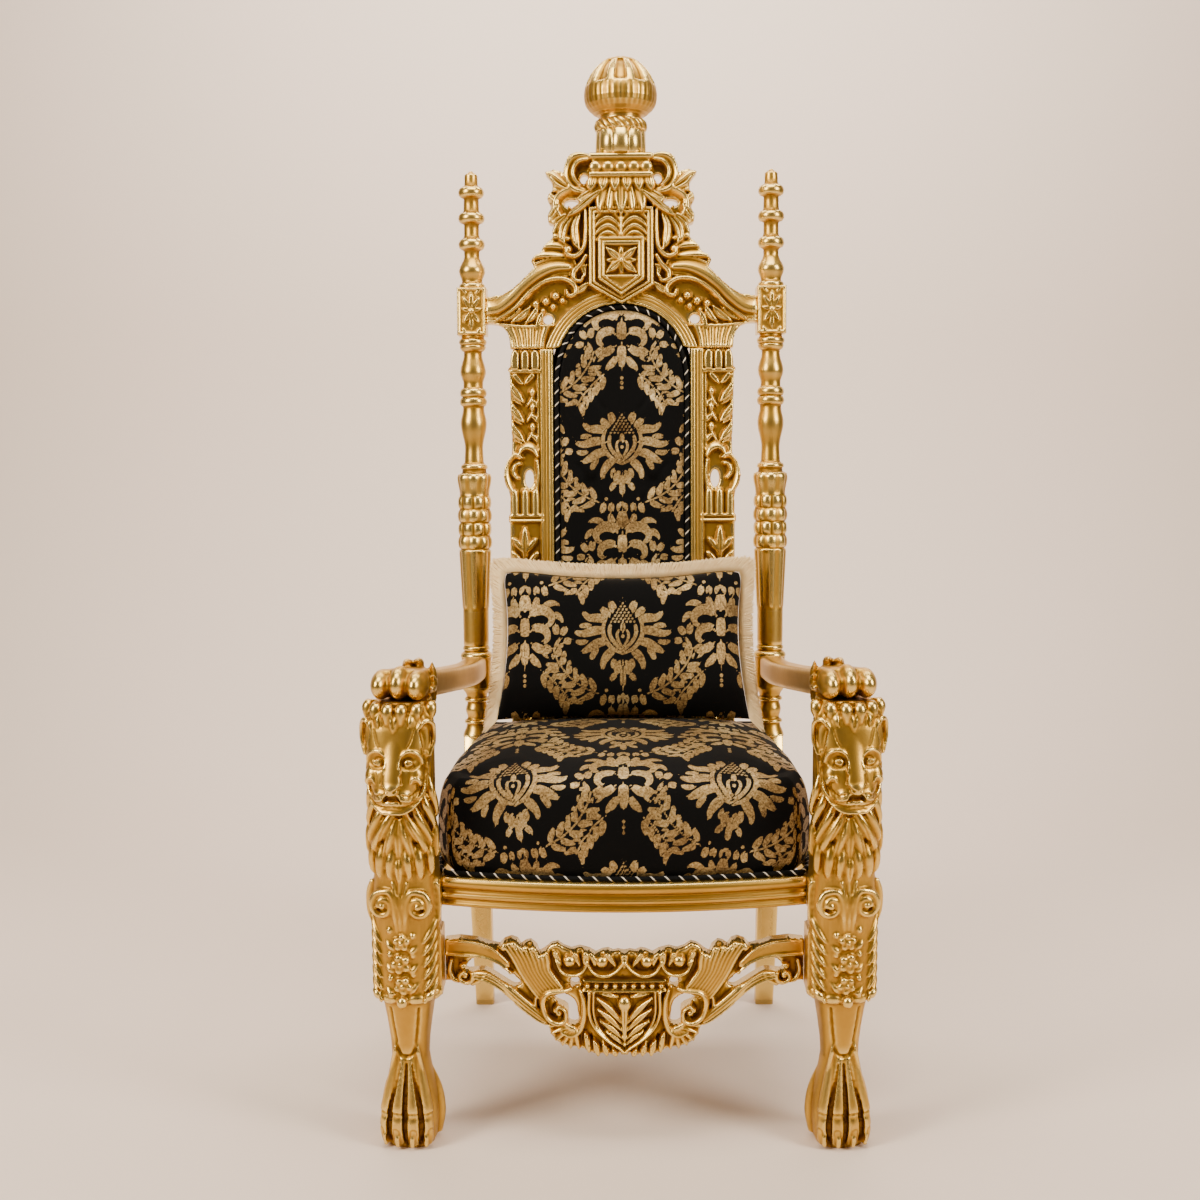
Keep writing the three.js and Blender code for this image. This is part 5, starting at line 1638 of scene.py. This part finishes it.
medallion = [
    # Petals over the net, then flames that curl out on both sides, the lower ones last.
    [(0, 40, 5), (0, 58, 7.5), (0, 72, 0.9)], [(11, 38, 4), (19, 56, 7), (24, 69, 0.9)],
    [(22, 34, 4), (33, 47, 6.5), (43, 55, 0.9)],
    [(52, 18, 2.4), (68, 21, 5), (84, 18, 0.9)],
    [(24, 26, 3), (42, 34, 8), (60, 35, 6.5), (70, 44, 4), (72, 55, 0.9)],
    [(60, -6, 2.4), (76, -10, 5), (90, -4, 0.9)],
    [(26, 10, 3.4), (48, 12, 8.2), (70, 6, 6.6), (84, 9, 4), (92, 20, 0.9)],
    [(42, -20, 2.4), (54, -33, 5.4), (57, -47, 0.9)],
    [(20, -8, 3.4), (42, -10, 8.2), (60, -20, 7), (72, -26, 4), (84, -22, 0.9)],
    [(14, -36, 2.4), (17, -50, 5.4), (14, -63, 0.9)],
    [(8, -18, 3.4), (25, -30, 7.8), (35, -45, 6), (37, -56, 3.6), (45, -64, 0.9)],
    # Three bands round the heart.
    [(0, -31, 2), (21, -19, 3.6), (34, 1, 3.8), (35, 20, 3.4), (28, 35, 0.9)],
    [(0, -25, 2), (13, -13, 3.2), (23, 3, 3.4), (23, 19, 3.2), (17, 30, 0.9)],
    [(0, -19, 1.5), (9, -4, 2.6), (9.5, 8, 2.4), (0, 20, 1.2)],
    # The bulb that hangs below, in its leaves.
    [(6, -66, 2), (17, -71, 5.4), (24, -86, 0.9)], [(0, -42, 3), (9, -52, 6.4), (10, -63, 5), (3, -74, 0.9)],
    [(0, -46, 2), (0, -60, 4), (0, -80, 5.4), (0, -97, 0.9)],
]
medallionDots = [(0, 1)]
fleur = [
    [(12, 52, 4), (21, 64, 6.4), (22, 80, 0.9)], [(0, 46, 8), (0, 64, 11), (0, 88, 0.9)],
    [(30, 54, 3), (46, 62, 6), (60, 60, 3), (66, 50, 0.9)],
    [(40, 38, 3), (58, 40, 6.4), (68, 30, 3), (66, 20, 0.9)],
    [(2, 26, 5), (14, 46, 9), (34, 50, 9.4), (49, 38, 7), (46, 24, 4.4), (37, 22, 3.4), (34, 30, 2)],
    [(6, 8, 5), (22, 18, 8), (38, 12, 7.4), (42, -2, 5), (34, -8, 3.4), (28, -2, 2)],
    [(10, -8, 4), (26, -20, 8), (40, -26, 4), (48, -38, 0.9)],
    [(6, -24, 3), (18, -42, 7), (26, -50, 4), (30, -64, 0.9)],
    [(0, 40, 6), (0, 18, 9), (0, -8, 5)], [(0, -4, 6), (0, -28, 8.4), (0, -64, 0.9)],
]
fleurDots = [(0, -69), (0, -78), (0, -87), (0, 94)]


# The wreath round a medallion: broad leaves in pairs along a lower and an upper arm.
def garlandStrokes():
    out = []
    lower = smoothPath([[126, -20, 1], [118, -42, 1], [98, -70, 1], [72, -90, 1], [44, -102, 1]], 5)
    upper = smoothPath([[30, 138, 1], [50, 122, 1], [70, 100, 1], [84, 78, 1]], 5)
    for stem, reach, way in ((lower, 21, -1), (upper, 20, 1)):
        for k in range(1, len(stem) - 1, 3):
            x, z, _ = stem[k]
            dx, dz, _ = stem[k + 1] - stem[k - 1]
            size = math.hypot(dx, dz) * way
            dx, dz = dx / size, dz / size
            for side in (-1, 1):
                ox, oz = -dz * side, dx * side
                out.append([
                    (x + ox * 2, z + oz * 2, 1.6),
                    (x + ox * reach * 0.45 + dx * 8, z + oz * reach * 0.45 + dz * 8, 5.8),
                    (x + ox * reach * 0.85 + dx * 17, z + oz * reach * 0.85 + dz * 17, 3.6),
                    (x + ox * reach + dx * 27, z + oz * reach + dz * 27, 0.7),
                ])
        out.append([tuple(p[:2]) + (1.6,) for p in stem])
    for x, z, tipX, tipZ in ((112, 2, 100, 22), (120, 2, 122, 28), (108, -6, 90, -8)):
        out.append([(x, z, 2), ((x + tipX) / 2, (z + tipZ) / 2, 6.4), (tipX, tipZ, 0.9)])
    for x, tip in ((4, 2), (20, 22), (35, 42)):
        out.append([(x, -102, 3), (x + 1, -113, 6), (tip, -127, 0.9)])
    return out


# Signed distance to the nearest leaf of a pattern whose motifs alternate both ways.
class Damask:
    def __init__(self):
        a, b, step = damaskSizes["halfWide"], damaskSizes["halfTall"], damaskSizes["step"]
        self.tile = Relief(0, a, 0, 2 * b, step)
        self.tile.h[:] = damaskSizes["away"]
        centres = ((0, 0), (a, b), (0, 2 * b), (a, -b))
        for x, z in centres:
            self.place(garlandStrokes(), [(30, -96)], x, z)
        for x, z in ((0, b), (a, 0), (a, 2 * b), (0, -b)):
            self.place(fleur, fleurDots, x, z)
        for x, z in centres:
            self.place(medallion, medallionDots, x, z)
            self.clear([(x, z + 68), (x - 25, z + 27), (x, z + 12), (x + 25, z + 27)])
            for row in range(damaskSizes["seedRows"]):
                for k in range(-row, row + 1, 2):
                    seedX, seedZ = x + k * damaskSizes["seedApart"], z + 61 - row * damaskSizes["seedDrop"]
                    self.dot(seedX, seedZ, damaskSizes["seed"])
            self.leaf([(x, z + 8, 2), (x, z + 18, 4.6), (x, z + 30, 0.9)])

    def place(self, strokes, dots, x, z):
        for side in (-1, 1):
            for stroke in strokes:
                self.leaf([(x + side * px, z + pz, w) for px, pz, w in stroke])
            for px, pz in dots:
                self.dot(x + side * px, z + pz, damaskSizes["dot"])

    def leaf(self, stroke):
        path = smoothPath(stroke, 5)
        reach = path[:, 2].max() + 8
        area = self.tile.window(path[:, :2].min(0) - reach, path[:, :2].max(0) + reach)
        x, z = self.tile.x[area], self.tile.z[area]
        if x.size == 0:
            return
        field, along, across = strokeField(x, z, path)
        widest = path[:, 2].max()
        vein = (0.13 - np.abs(across)) * widest * np.where((along > 0.12) & (along < 0.8), 1, -1)
        inside = np.where((widest > 4) & (vein > 0), np.minimum(field, 0.1 - vein), field)
        outline = field + damaskSizes["gap"]
        h = self.tile.h[area]
        h = np.where(outline > 0, np.minimum(h, -outline), h)
        self.tile.h[area] = np.maximum(h, inside)

    def clear(self, corners):
        gap = outlineDistance(self.tile.x, self.tile.z, [corners])
        self.tile.h = np.where(gap > -3, np.minimum(self.tile.h, -2 - gap), self.tile.h)

    def dot(self, x, z, radius):
        t = self.tile
        area = t.window((x - radius - 8, z - radius - 8), (x + radius + 8, z + radius + 8))
        if t.x[area].size:
            gap = radius - np.hypot(t.x[area] - x, t.z[area] - z)
            t.h[area] = np.maximum(t.h[area], gap)

    def at(self, u, v):
        a, b = damaskSizes["halfWide"], damaskSizes["halfTall"]
        x = np.abs((u + a) % (2 * a) - a)
        return self.tile.sample(np.clip(x, 0, a - 0.01), v % (2 * b))


print("pattern")
pattern = Damask()


# The wall is a profile of how far out and how high, from the crown down to the cord.
seat = {
    "step": 3.1,
    "skirt": 168.0,
    "crown": 636,
    "cornerSoft": 34.0,
    "patternY": 242.0,
    "ruffle": 0.9,
    "wall": [
        (-230, 635.5), (-150, 632), (-90, 625), (-55, 617), (-36, 611), (-22, 603), (-12, 594), (-5.5, 580),
        (-1, 562), (2, 540), (3, 516), (2, 490), (0, 468), (-4, 458), (-9, 449),
    ],
    "shoulder": -22.0,
}


def seatPlan(margin):
    left = [(-264 - margin, 500), (-279 - margin, 400), (-298 - margin, 240), (-304 - margin, 114)]
    front = [(x + margin * x / 288, 56 + bowAt(x) - margin) for x in np.linspace(-288, 288, 25)]
    right = [(-x, y) for x, y in left[::-1]]
    return left, front, right


def sideDistance(x, y, line):
    best = np.full(x.shape, 1e9)
    nearX, nearY = np.zeros(x.shape), np.zeros(x.shape)
    for (ax, ay), (bx, by) in zip(line[:-1], line[1:]):
        dx, dy = bx - ax, by - ay
        t = np.clip(((x - ax) * dx + (y - ay) * dy) / (dx * dx + dy * dy + 1e-9), 0, 1)
        px, py = ax + dx * t, ay + dy * t
        gap = np.hypot(x - px, y - py)
        hit = gap < best
        best = np.where(hit, gap, best)
        nearX, nearY = np.where(hit, px, nearX), np.where(hit, py, nearY)
    return best, nearX, nearY


def seatPart():
    left, front, right = seatPlan(seat["shoulder"])
    ring = left + front + right
    skirt = seat["skirt"]
    xs = np.arange(-304 - skirt, 304 + skirt, seat["step"])
    ys = np.arange(10 - skirt, 505 + skirt, seat["step"])
    x, y = np.meshgrid(xs, ys)
    field = outlineDistance(x, y, [ring])
    u, v, cells, _ = trimmedGrid(x, y, field + skirt)
    sides = [left + front[:1], front, [front[-1]] + right, [right[-1], left[0]]]
    inside = outlineDistance(u, v, [ring])
    apart = np.stack([sideDistance(u, v, line)[0] for line in sides])
    depth = -np.log(np.exp(-apart / seat["cornerSoft"]).sum(0)) * seat["cornerSoft"]
    curve = smoothPath([[m, z] for m, z in seat["wall"]], 12)
    arc = np.concatenate([[0], np.cumsum(np.hypot(*np.diff(curve, axis=0).T))])
    widest = np.argmax(curve[:, 0])
    start = np.interp(seat["shoulder"], curve[:widest, 0], arc[:widest])
    _, nearX, nearY = sideDistance(u, v, ring + ring[:1])
    out = np.maximum(-inside, 0.0)
    margin = np.interp(start + out, arc, curve[:, 0]) - seat["shoulder"]
    wallZ = np.interp(start + out, arc, curve[:, 1])
    topZ = np.interp(seat["shoulder"] - np.clip(depth, 0, 300), curve[:80, 0], curve[:80, 1])
    away = np.stack([u - nearX, v - nearY], 1) / (out[:, None] + 1e-9)
    onWall = inside < 0
    px = np.where(onWall, nearX + away[:, 0] * margin, u)
    py = np.where(onWall, nearY + away[:, 1] * margin, v)
    pz = np.where(onWall, wallZ, np.minimum(topZ, seat["crown"]))
    # Slight pulls above the cord and along the corners.
    pull = np.clip((out - 110) / 60, 0, 1)
    ruffle = seat["ruffle"] * np.sin(nearX / 17.0 + 1.3 * np.sin(nearX / 41.0)) * pull
    px = px - away[:, 0] * ruffle * onWall
    py = py - away[:, 1] * ruffle * onWall
    points = np.stack([px, py, pz], 1)
    motif = pattern.at(u, v - seat["patternY"])
    return points, cells.tolist(), motif


print("seat")
points, faces, motif = seatPart()
piece = makePiece(
    "seatUpholstery", points, faces, damask, ["seat_upholstery"], {"damask": motif},
)


backPad = {
    "step": 2.5,
    "edge": -11.0,
    "rear": 11.0,
    "face": [(-3, -11.5), (0, -12), (3, -18), (8, -23), (18, -27.5), (30, -30), (60, -33), (120, -35.5)],
    "tufts": (840, 752, 664, 576, 488, 400),
    "tuftX": 58,
    "tuftZ": 88,
    "tuftDeep": 7.5,
    "foldDeep": 2.4,
    "foldHalf": 5.5,
    "patternZ": 645,
    "panel": (12.4, 17.9),  # front and rear of the board behind it
}


def backLoop(offset):
    bottom = 14 - offset
    return [(-128 - offset, bottom)] + [tuple(p) for p in archPath(offset, 48)] + [(128 + offset, bottom)]


def tuft(x, z, cx, cz, size):
    return np.exp(-((x - cx) ** 2 + (z - cz) ** 2) / (2 * size * size))


def backPart():
    xs = np.arange(-122, 122, backPad["step"])
    zs = np.arange(20, 906, backPad["step"])
    x, z = np.meshgrid(xs, zs)
    loop = backLoop(backPad["edge"])
    u, v, cells, _ = trimmedGrid(x, z, outlineDistance(x, z, [loop]))
    inside = np.clip(outlineDistance(u, v, [loop]), 0, 500)
    curve = smoothPath(backPad["face"], 8)
    y = np.interp(inside, curve[:, 0], curve[:, 1])
    edge = np.clip(inside / 22, 0, 1)
    # Folds run from each tuft half the way to its four neighbours.
    wide, tall = backPad["tuftX"], backPad["tuftZ"]
    for row, cz in enumerate(backPad["tufts"]):
        for cx in ((-wide, wide) if row % 2 else (0,)):
            y = y + backPad["tuftDeep"] * tuft(u, v, cx, cz, 11) * edge
            for dx, dz in ((wide, tall), (-wide, tall), (wide, -tall), (-wide, -tall)):
                length = math.hypot(dx, dz)
                t = ((u - cx) * dx + (v - cz) * dz) / length
                s = ((u - cx) * dz - (v - cz) * dx) / length
                fade = np.clip(t / 10, 0, 1) * np.clip((length / 2 - t) / 12, 0, 1)
                y = y + backPad["foldDeep"] * np.exp(-((s / backPad["foldHalf"]) ** 2)) * fade * edge
    y = np.minimum(y, backPad["edge"])
    y = np.where(inside < 0.4, -11.5, y)
    front = np.stack([u, y, v], 1)
    loop = rimLoop(cells)
    rear = np.stack([u[loop], np.full(len(loop), backPad["rear"]), v[loop]], 1)
    base, count = len(u), len(loop)
    walls = [[loop[(k + 1) % count], loop[k], base + k, base + (k + 1) % count] for k in range(count)]
    points = leaned(np.concatenate([front, rear]))
    faces = cells.tolist() + walls + [[base + k for k in range(count - 1, -1, -1)]]
    motif = pattern.at(u, v - backPad["patternZ"])
    return points, faces, np.concatenate([motif, np.full(count, damaskSizes["away"])])


print("back")
points, faces, motif = backPart()
piece = makePiece(
    "backUpholstery", points, faces, damask, ["back_upholstery"], {"damask": motif},
)
loop = backLoop(7.8)
rings = [np.array([[x, y, z] for x, z in loop]) for y in backPad["panel"]]
points, faces = facingOut(*loftRings(rings))
makePiece(
    "outsideBackPanel", leaned(points), faces, plainVelvet, ["outside_back_panel"], None,
    False,
)


pillow = {
    "tall": 262.0,
    "wide": 452.0,
    "thick": 59.0,  # half of what it measures at the middle
    "step": 2.6,
    "angle": math.radians(14),
    "y": 418.0,
    "z": 641.0,
}


def tilted(points):
    c, s = math.cos(pillow["angle"]), math.sin(pillow["angle"])
    x, y, z = points[:, 0], points[:, 1], points[:, 2]
    return np.stack([x, pillow["y"] + y * c + z * s, pillow["z"] - y * s + z * c], 1)


# Concave sides, a sagging top edge, and lower corners that reach down.
def pillowEdge(u, v, grow=0.0):
    up, down = np.maximum(v, 0.0), np.maximum(-v, 0.0)
    side = pillow["wide"] / 2 + grow - 14 * (1 - v**2) * np.abs(u) - 4 * up + 5 * down - 8 * up**12
    z = pillow["tall"] * (v + 1) / 2 + grow * v - 19 * (1 - u**2) * up - 8 * up * u**12 - (8 + 8 * u**2) * down**2
    return u * side, z


def pillowPart():
    cols = int(pillow["wide"] / pillow["step"])
    rows = int(pillow["tall"] / pillow["step"])
    u, v = np.meshgrid(np.linspace(-1, 1, cols), np.linspace(-1, 1, rows))
    x, z = pillowEdge(u, v)
    body = ((1 - u**4) * (1 - v**4)) ** 0.55
    crease = 1.6 * np.sin(7 * u + 2.2 * v) * np.sin(3.1 * v + 1.7 * u) * body
    corner = np.exp(-((np.abs(u) - 0.86) ** 2 + (np.abs(v) - 0.8) ** 2) / 0.02)
    half = pillow["thick"] * body * (1 - 0.07 * corner) + crease
    half = np.clip(half, 0.0, pillow["thick"])
    front = np.stack([x, -half, z], 2).reshape(-1, 3)
    back = np.stack([x, half, z], 2).reshape(-1, 3)
    ids = np.arange(rows * cols).reshape(rows, cols)
    cells = np.stack([ids[:-1, :-1], ids[:-1, 1:], ids[1:, 1:], ids[1:, :-1]], 2).reshape(-1, 4)
    rim = np.zeros((rows, cols), dtype=bool)
    rim[0], rim[-1], rim[:, 0], rim[:, -1] = True, True, True, True
    other = np.where(rim, ids, ids + rows * cols).reshape(-1)
    keep = np.concatenate([np.ones(rows * cols, dtype=bool), ~rim.reshape(-1)])
    renumber = np.cumsum(keep) - 1
    faces = np.concatenate([cells, renumber[other[cells[:, ::-1]]]])
    points = np.concatenate([front, back])[keep]
    motif = pattern.at(x, z - pillow["tall"] / 2).reshape(-1)
    motif = np.concatenate([motif, motif])[keep]
    return tilted(points), faces.tolist(), motif


print("pillow")
points, faces, motif = pillowPart()
piece = makePiece("lumbarPillow", points, faces, damask, ["lumbar_pillow"], {"damask": motif})


cord = {
    "radius": 4.5,
    "pitch": 23.0,  # one full twist
    "strands": 3,
    "step": 2.0,
    "sides": 12,
    "valley": 0.78,  # radius between two strands, as a share
    "swell": 0.22,
    "seatZ": 451.9,
    "backY": -15.0,
}


def evenly(path, step):
    arc = np.concatenate([[0], np.cumsum(np.linalg.norm(np.diff(path, axis=0), axis=1))])
    count = max(4, int(arc[-1] / step))
    at = np.linspace(0, arc[-1], count)
    return np.stack([np.interp(at, arc, path[:, k]) for k in range(path.shape[1])], 1), at


# A twisted cord; out is the side of the path that its section starts from.
def cordPart(path, out):
    place, at = evenly(path, cord["step"])
    along = np.gradient(place, axis=0)
    along /= np.linalg.norm(along, axis=1)[:, None]
    side = np.cross(along, np.array(out))
    side /= np.linalg.norm(side, axis=1)[:, None]
    up = np.cross(side, along)
    turn = np.arange(cord["sides"]) * 2 * np.pi / cord["sides"]
    phase = turn[None, :] + at[:, None] * 2 * np.pi / cord["pitch"]
    lobes = np.abs(np.cos(phase * cord["strands"] / 2))
    radius = cord["radius"] * (cord["valley"] + cord["swell"] * lobes**0.8)
    ring = side[:, None] * np.cos(turn)[None, :, None] + up[:, None] * np.sin(turn)[None, :, None]
    points, faces = loftRings(place[:, None] + ring * radius[:, :, None])
    strand = 1 - np.abs(((phase / (2 * np.pi)) % 1.0) - 0.5) * 2
    strand = np.concatenate([np.clip((strand - 0.74) * 4.0, 0, 1).reshape(-1), [0, 0]])
    points, faces = facingOut(points, faces)
    return points, faces, strand


print("cords")
left, front, right = seatPlan(1.0)
path = np.array([(x, y, cord["seatZ"]) for x, y in left + front + right])
points, faces, strand = cordPart(smoothPath(path, 3), (0, 0, 1))
makePiece("seatPiping", points, faces, rope, ["seat_piping"], {"strand": strand})
path = np.array([(x, cord["backY"], z) for x, z in backLoop(-5.8)])
points, faces, strand = cordPart(path, (0, 1, 0))
makePiece("backPiping", leaned(points), faces, rope, ["back_piping"], {"strand": strand})


fringe = {
    "inner": 1.0,
    "outer": 29.0,
    "apart": 0.95,
    "tuftEvery": 8,
    "sides": 3,
    "stations": ((0.0, 1.1), (0.4, 1.25), (0.85, 1.2), (1.0, 0.7)),  # place along a yarn and its radius
}


def fringePath():
    line = [(-1, v) for v in np.linspace(-1, 1, 60)] + [(u, 1) for u in np.linspace(-1, 1, 100)[1:-1]]
    line += [(1, v) for v in np.linspace(1, -1, 60)]
    return line


# Yarns side by side in two layers, drawn together in small tufts.
def fringePart():
    rims = []
    for grow in (fringe["inner"], fringe["outer"]):
        rims.append(np.array([np.array(pillowEdge(float(u), float(v), grow)) for u, v in fringePath()]))
    inner, outer = rims
    arc = np.concatenate([[0], np.cumsum(np.hypot(*np.diff((inner + outer) / 2, axis=0).T))])
    at = np.arange(0, arc[-1], fringe["apart"])
    count = len(at)
    foot = np.stack([np.interp(at, arc, inner[:, k]) for k in (0, 1)], 1)
    tip = np.stack([np.interp(at, arc, outer[:, k]) for k in (0, 1)], 1)
    reach = tip - foot
    across = np.stack([-reach[:, 1], reach[:, 0]], 1) / np.hypot(*reach.T)[:, None]
    tuftAt = (np.arange(count) % fringe["tuftEvery"]) / (fringe["tuftEvery"] - 1) - 0.5
    points, faces = [], []
    turn = np.arange(fringe["sides"]) * 2 * np.pi / fringe["sides"]
    for layer in (-1, 1):
        swing = dice.normal(0, 0.8, count)
        length = 1.0 - 0.08 * dice.random(count) - 0.10 * tuftAt**2 * 4
        deep = 0.8 + 2.2 * dice.random(count)
        rings = []
        for t, r in fringe["stations"]:
            shift = -tuftAt * 2.4 * t + swing * t * t * 1.5
            q = foot + reach * (t * length)[:, None] + across * shift[:, None]
            y = layer * (2.6 * (1 - t) + deep * t)
            ring = np.stack([
                q[:, None, 0] + across[:, None, 0] * r * np.cos(turn)[None, :],
                y[:, None] + r * np.sin(turn)[None, :],
                q[:, None, 1] + across[:, None, 1] * r * np.cos(turn)[None, :],
            ], 2)
            rings.append(ring)
        base = sum(len(block) for block in points)
        block = np.stack(rings, 1).reshape(-1, 3)
        points.append(block)
        rows, sides = len(fringe["stations"]), fringe["sides"]
        ids = base + np.arange(count * rows * sides).reshape(count, rows, sides)
        beside = np.roll(ids, -1, axis=2)
        quads = np.stack([ids[:, :-1], beside[:, :-1], beside[:, 1:], ids[:, 1:]], 3).reshape(-1, 4)
        faces += quads.tolist() + ids[:, 0, ::-1].tolist() + ids[:, -1].tolist()
    return facingOut(np.concatenate(points), faces)


print("fringe")
points, faces = fringePart()
makePiece("pillowFringe", tilted(points), faces, fringeYarn, ["pillow_fringe"])


# In metres: a paper sweep that runs from the floor up behind the throne.
room = {
    "reach": 6.0,
    "front": -4.0,
    "bend": 1.6,
    "radius": 1.4,
    "top": 6.0,
    "paper": "#e0d0c2",
    "air": "#85705c",
    "airStrength": 0.34,
    "lights": [
        ("windowLeft", (-2.6, -1.9, 2.6), (0, 0, 0.9), (1.1, 2.0), 150, "#fff2e0"),
        ("windowRight", (2.7, -1.7, 2.4), (0, 0, 0.9), (1.0, 2.0), 120, "#fff4e6"),
        ("overhead", (0, -0.6, 3.6), (0, 0.2, 0.8), (2.2, 1.2), 85, "#fff6ea"),
        ("backWash", (0, 1.2, 3.4), (0, 3.0, 1.2), (3.4, 1.0), 150, "#fff6ee"),
    ],
}
view = {"sensor": 36.0, "lens": 48.0, "y": -2456.0, "z": 1.25, "turn": (90 - 8, 0.36, 0.77)}


def studio():
    bend, radius = room["bend"], room["radius"]
    rings = []
    for x in (-room["reach"], room["reach"]):
        line = [(x, room["front"], 0.0), (x, bend, 0.0)]
        for t in np.linspace(0, 1, 14)[1:]:
            a = t * np.pi / 2
            line.append((x, bend + radius * math.sin(a), radius * (1 - math.cos(a))))
        line.append((x, bend + radius, room["top"]))
        rings.append(line)
    points = np.array(rings[0] + rings[1])
    count = len(rings[0])
    faces = [[i, i + 1, i + 1 + count, i + count] for i in range(count - 1)]
    mesh = bpy.data.meshes.new("backdrop")
    mesh.from_pydata(points.tolist(), [], [list(reversed(f)) for f in faces])
    mesh.shade_smooth()
    backdrop = bpy.data.objects.new("backdrop", mesh)
    bpy.context.scene.collection.objects.link(backdrop)
    paper, _, shader = newMaterial("paper")
    shader.inputs["Base Color"].default_value = linear(room["paper"])
    shader.inputs["Roughness"].default_value = 0.9
    mesh.materials.append(paper)


def areaLight(name, place, aim, size, power, colour):
    light = bpy.data.lights.new(name, "AREA")
    light.shape = "RECTANGLE"
    light.size, light.size_y = size
    light.energy = power
    light.color = linear(colour)[:3]
    thing = bpy.data.objects.new(name, light)
    thing.location = place
    thing.rotation_euler = (Vector(aim) - Vector(place)).to_track_quat("-Z", "Y").to_euler()
    bpy.context.scene.collection.objects.link(thing)


def lightAndCamera():
    world = bpy.data.worlds.new("room")
    world.use_nodes = True
    background = world.node_tree.nodes["Background"]
    background.inputs["Color"].default_value = linear(room["air"])
    background.inputs["Strength"].default_value = room["airStrength"]
    bpy.context.scene.world = world
    for light in room["lights"]:
        areaLight(*light)
    lens = bpy.data.cameras.new("camera")
    lens.sensor_width = view["sensor"]
    lens.lens = view["lens"]
    camera = bpy.data.objects.new("camera", lens)
    camera.location = (0.0, (view["y"] - shared["shiftY"]) * shared["mm"], view["z"])
    camera.rotation_euler = [math.radians(angle) for angle in view["turn"]]
    bpy.context.scene.collection.objects.link(camera)
    bpy.context.scene.camera = camera


print("room")
studio()
lightAndCamera()
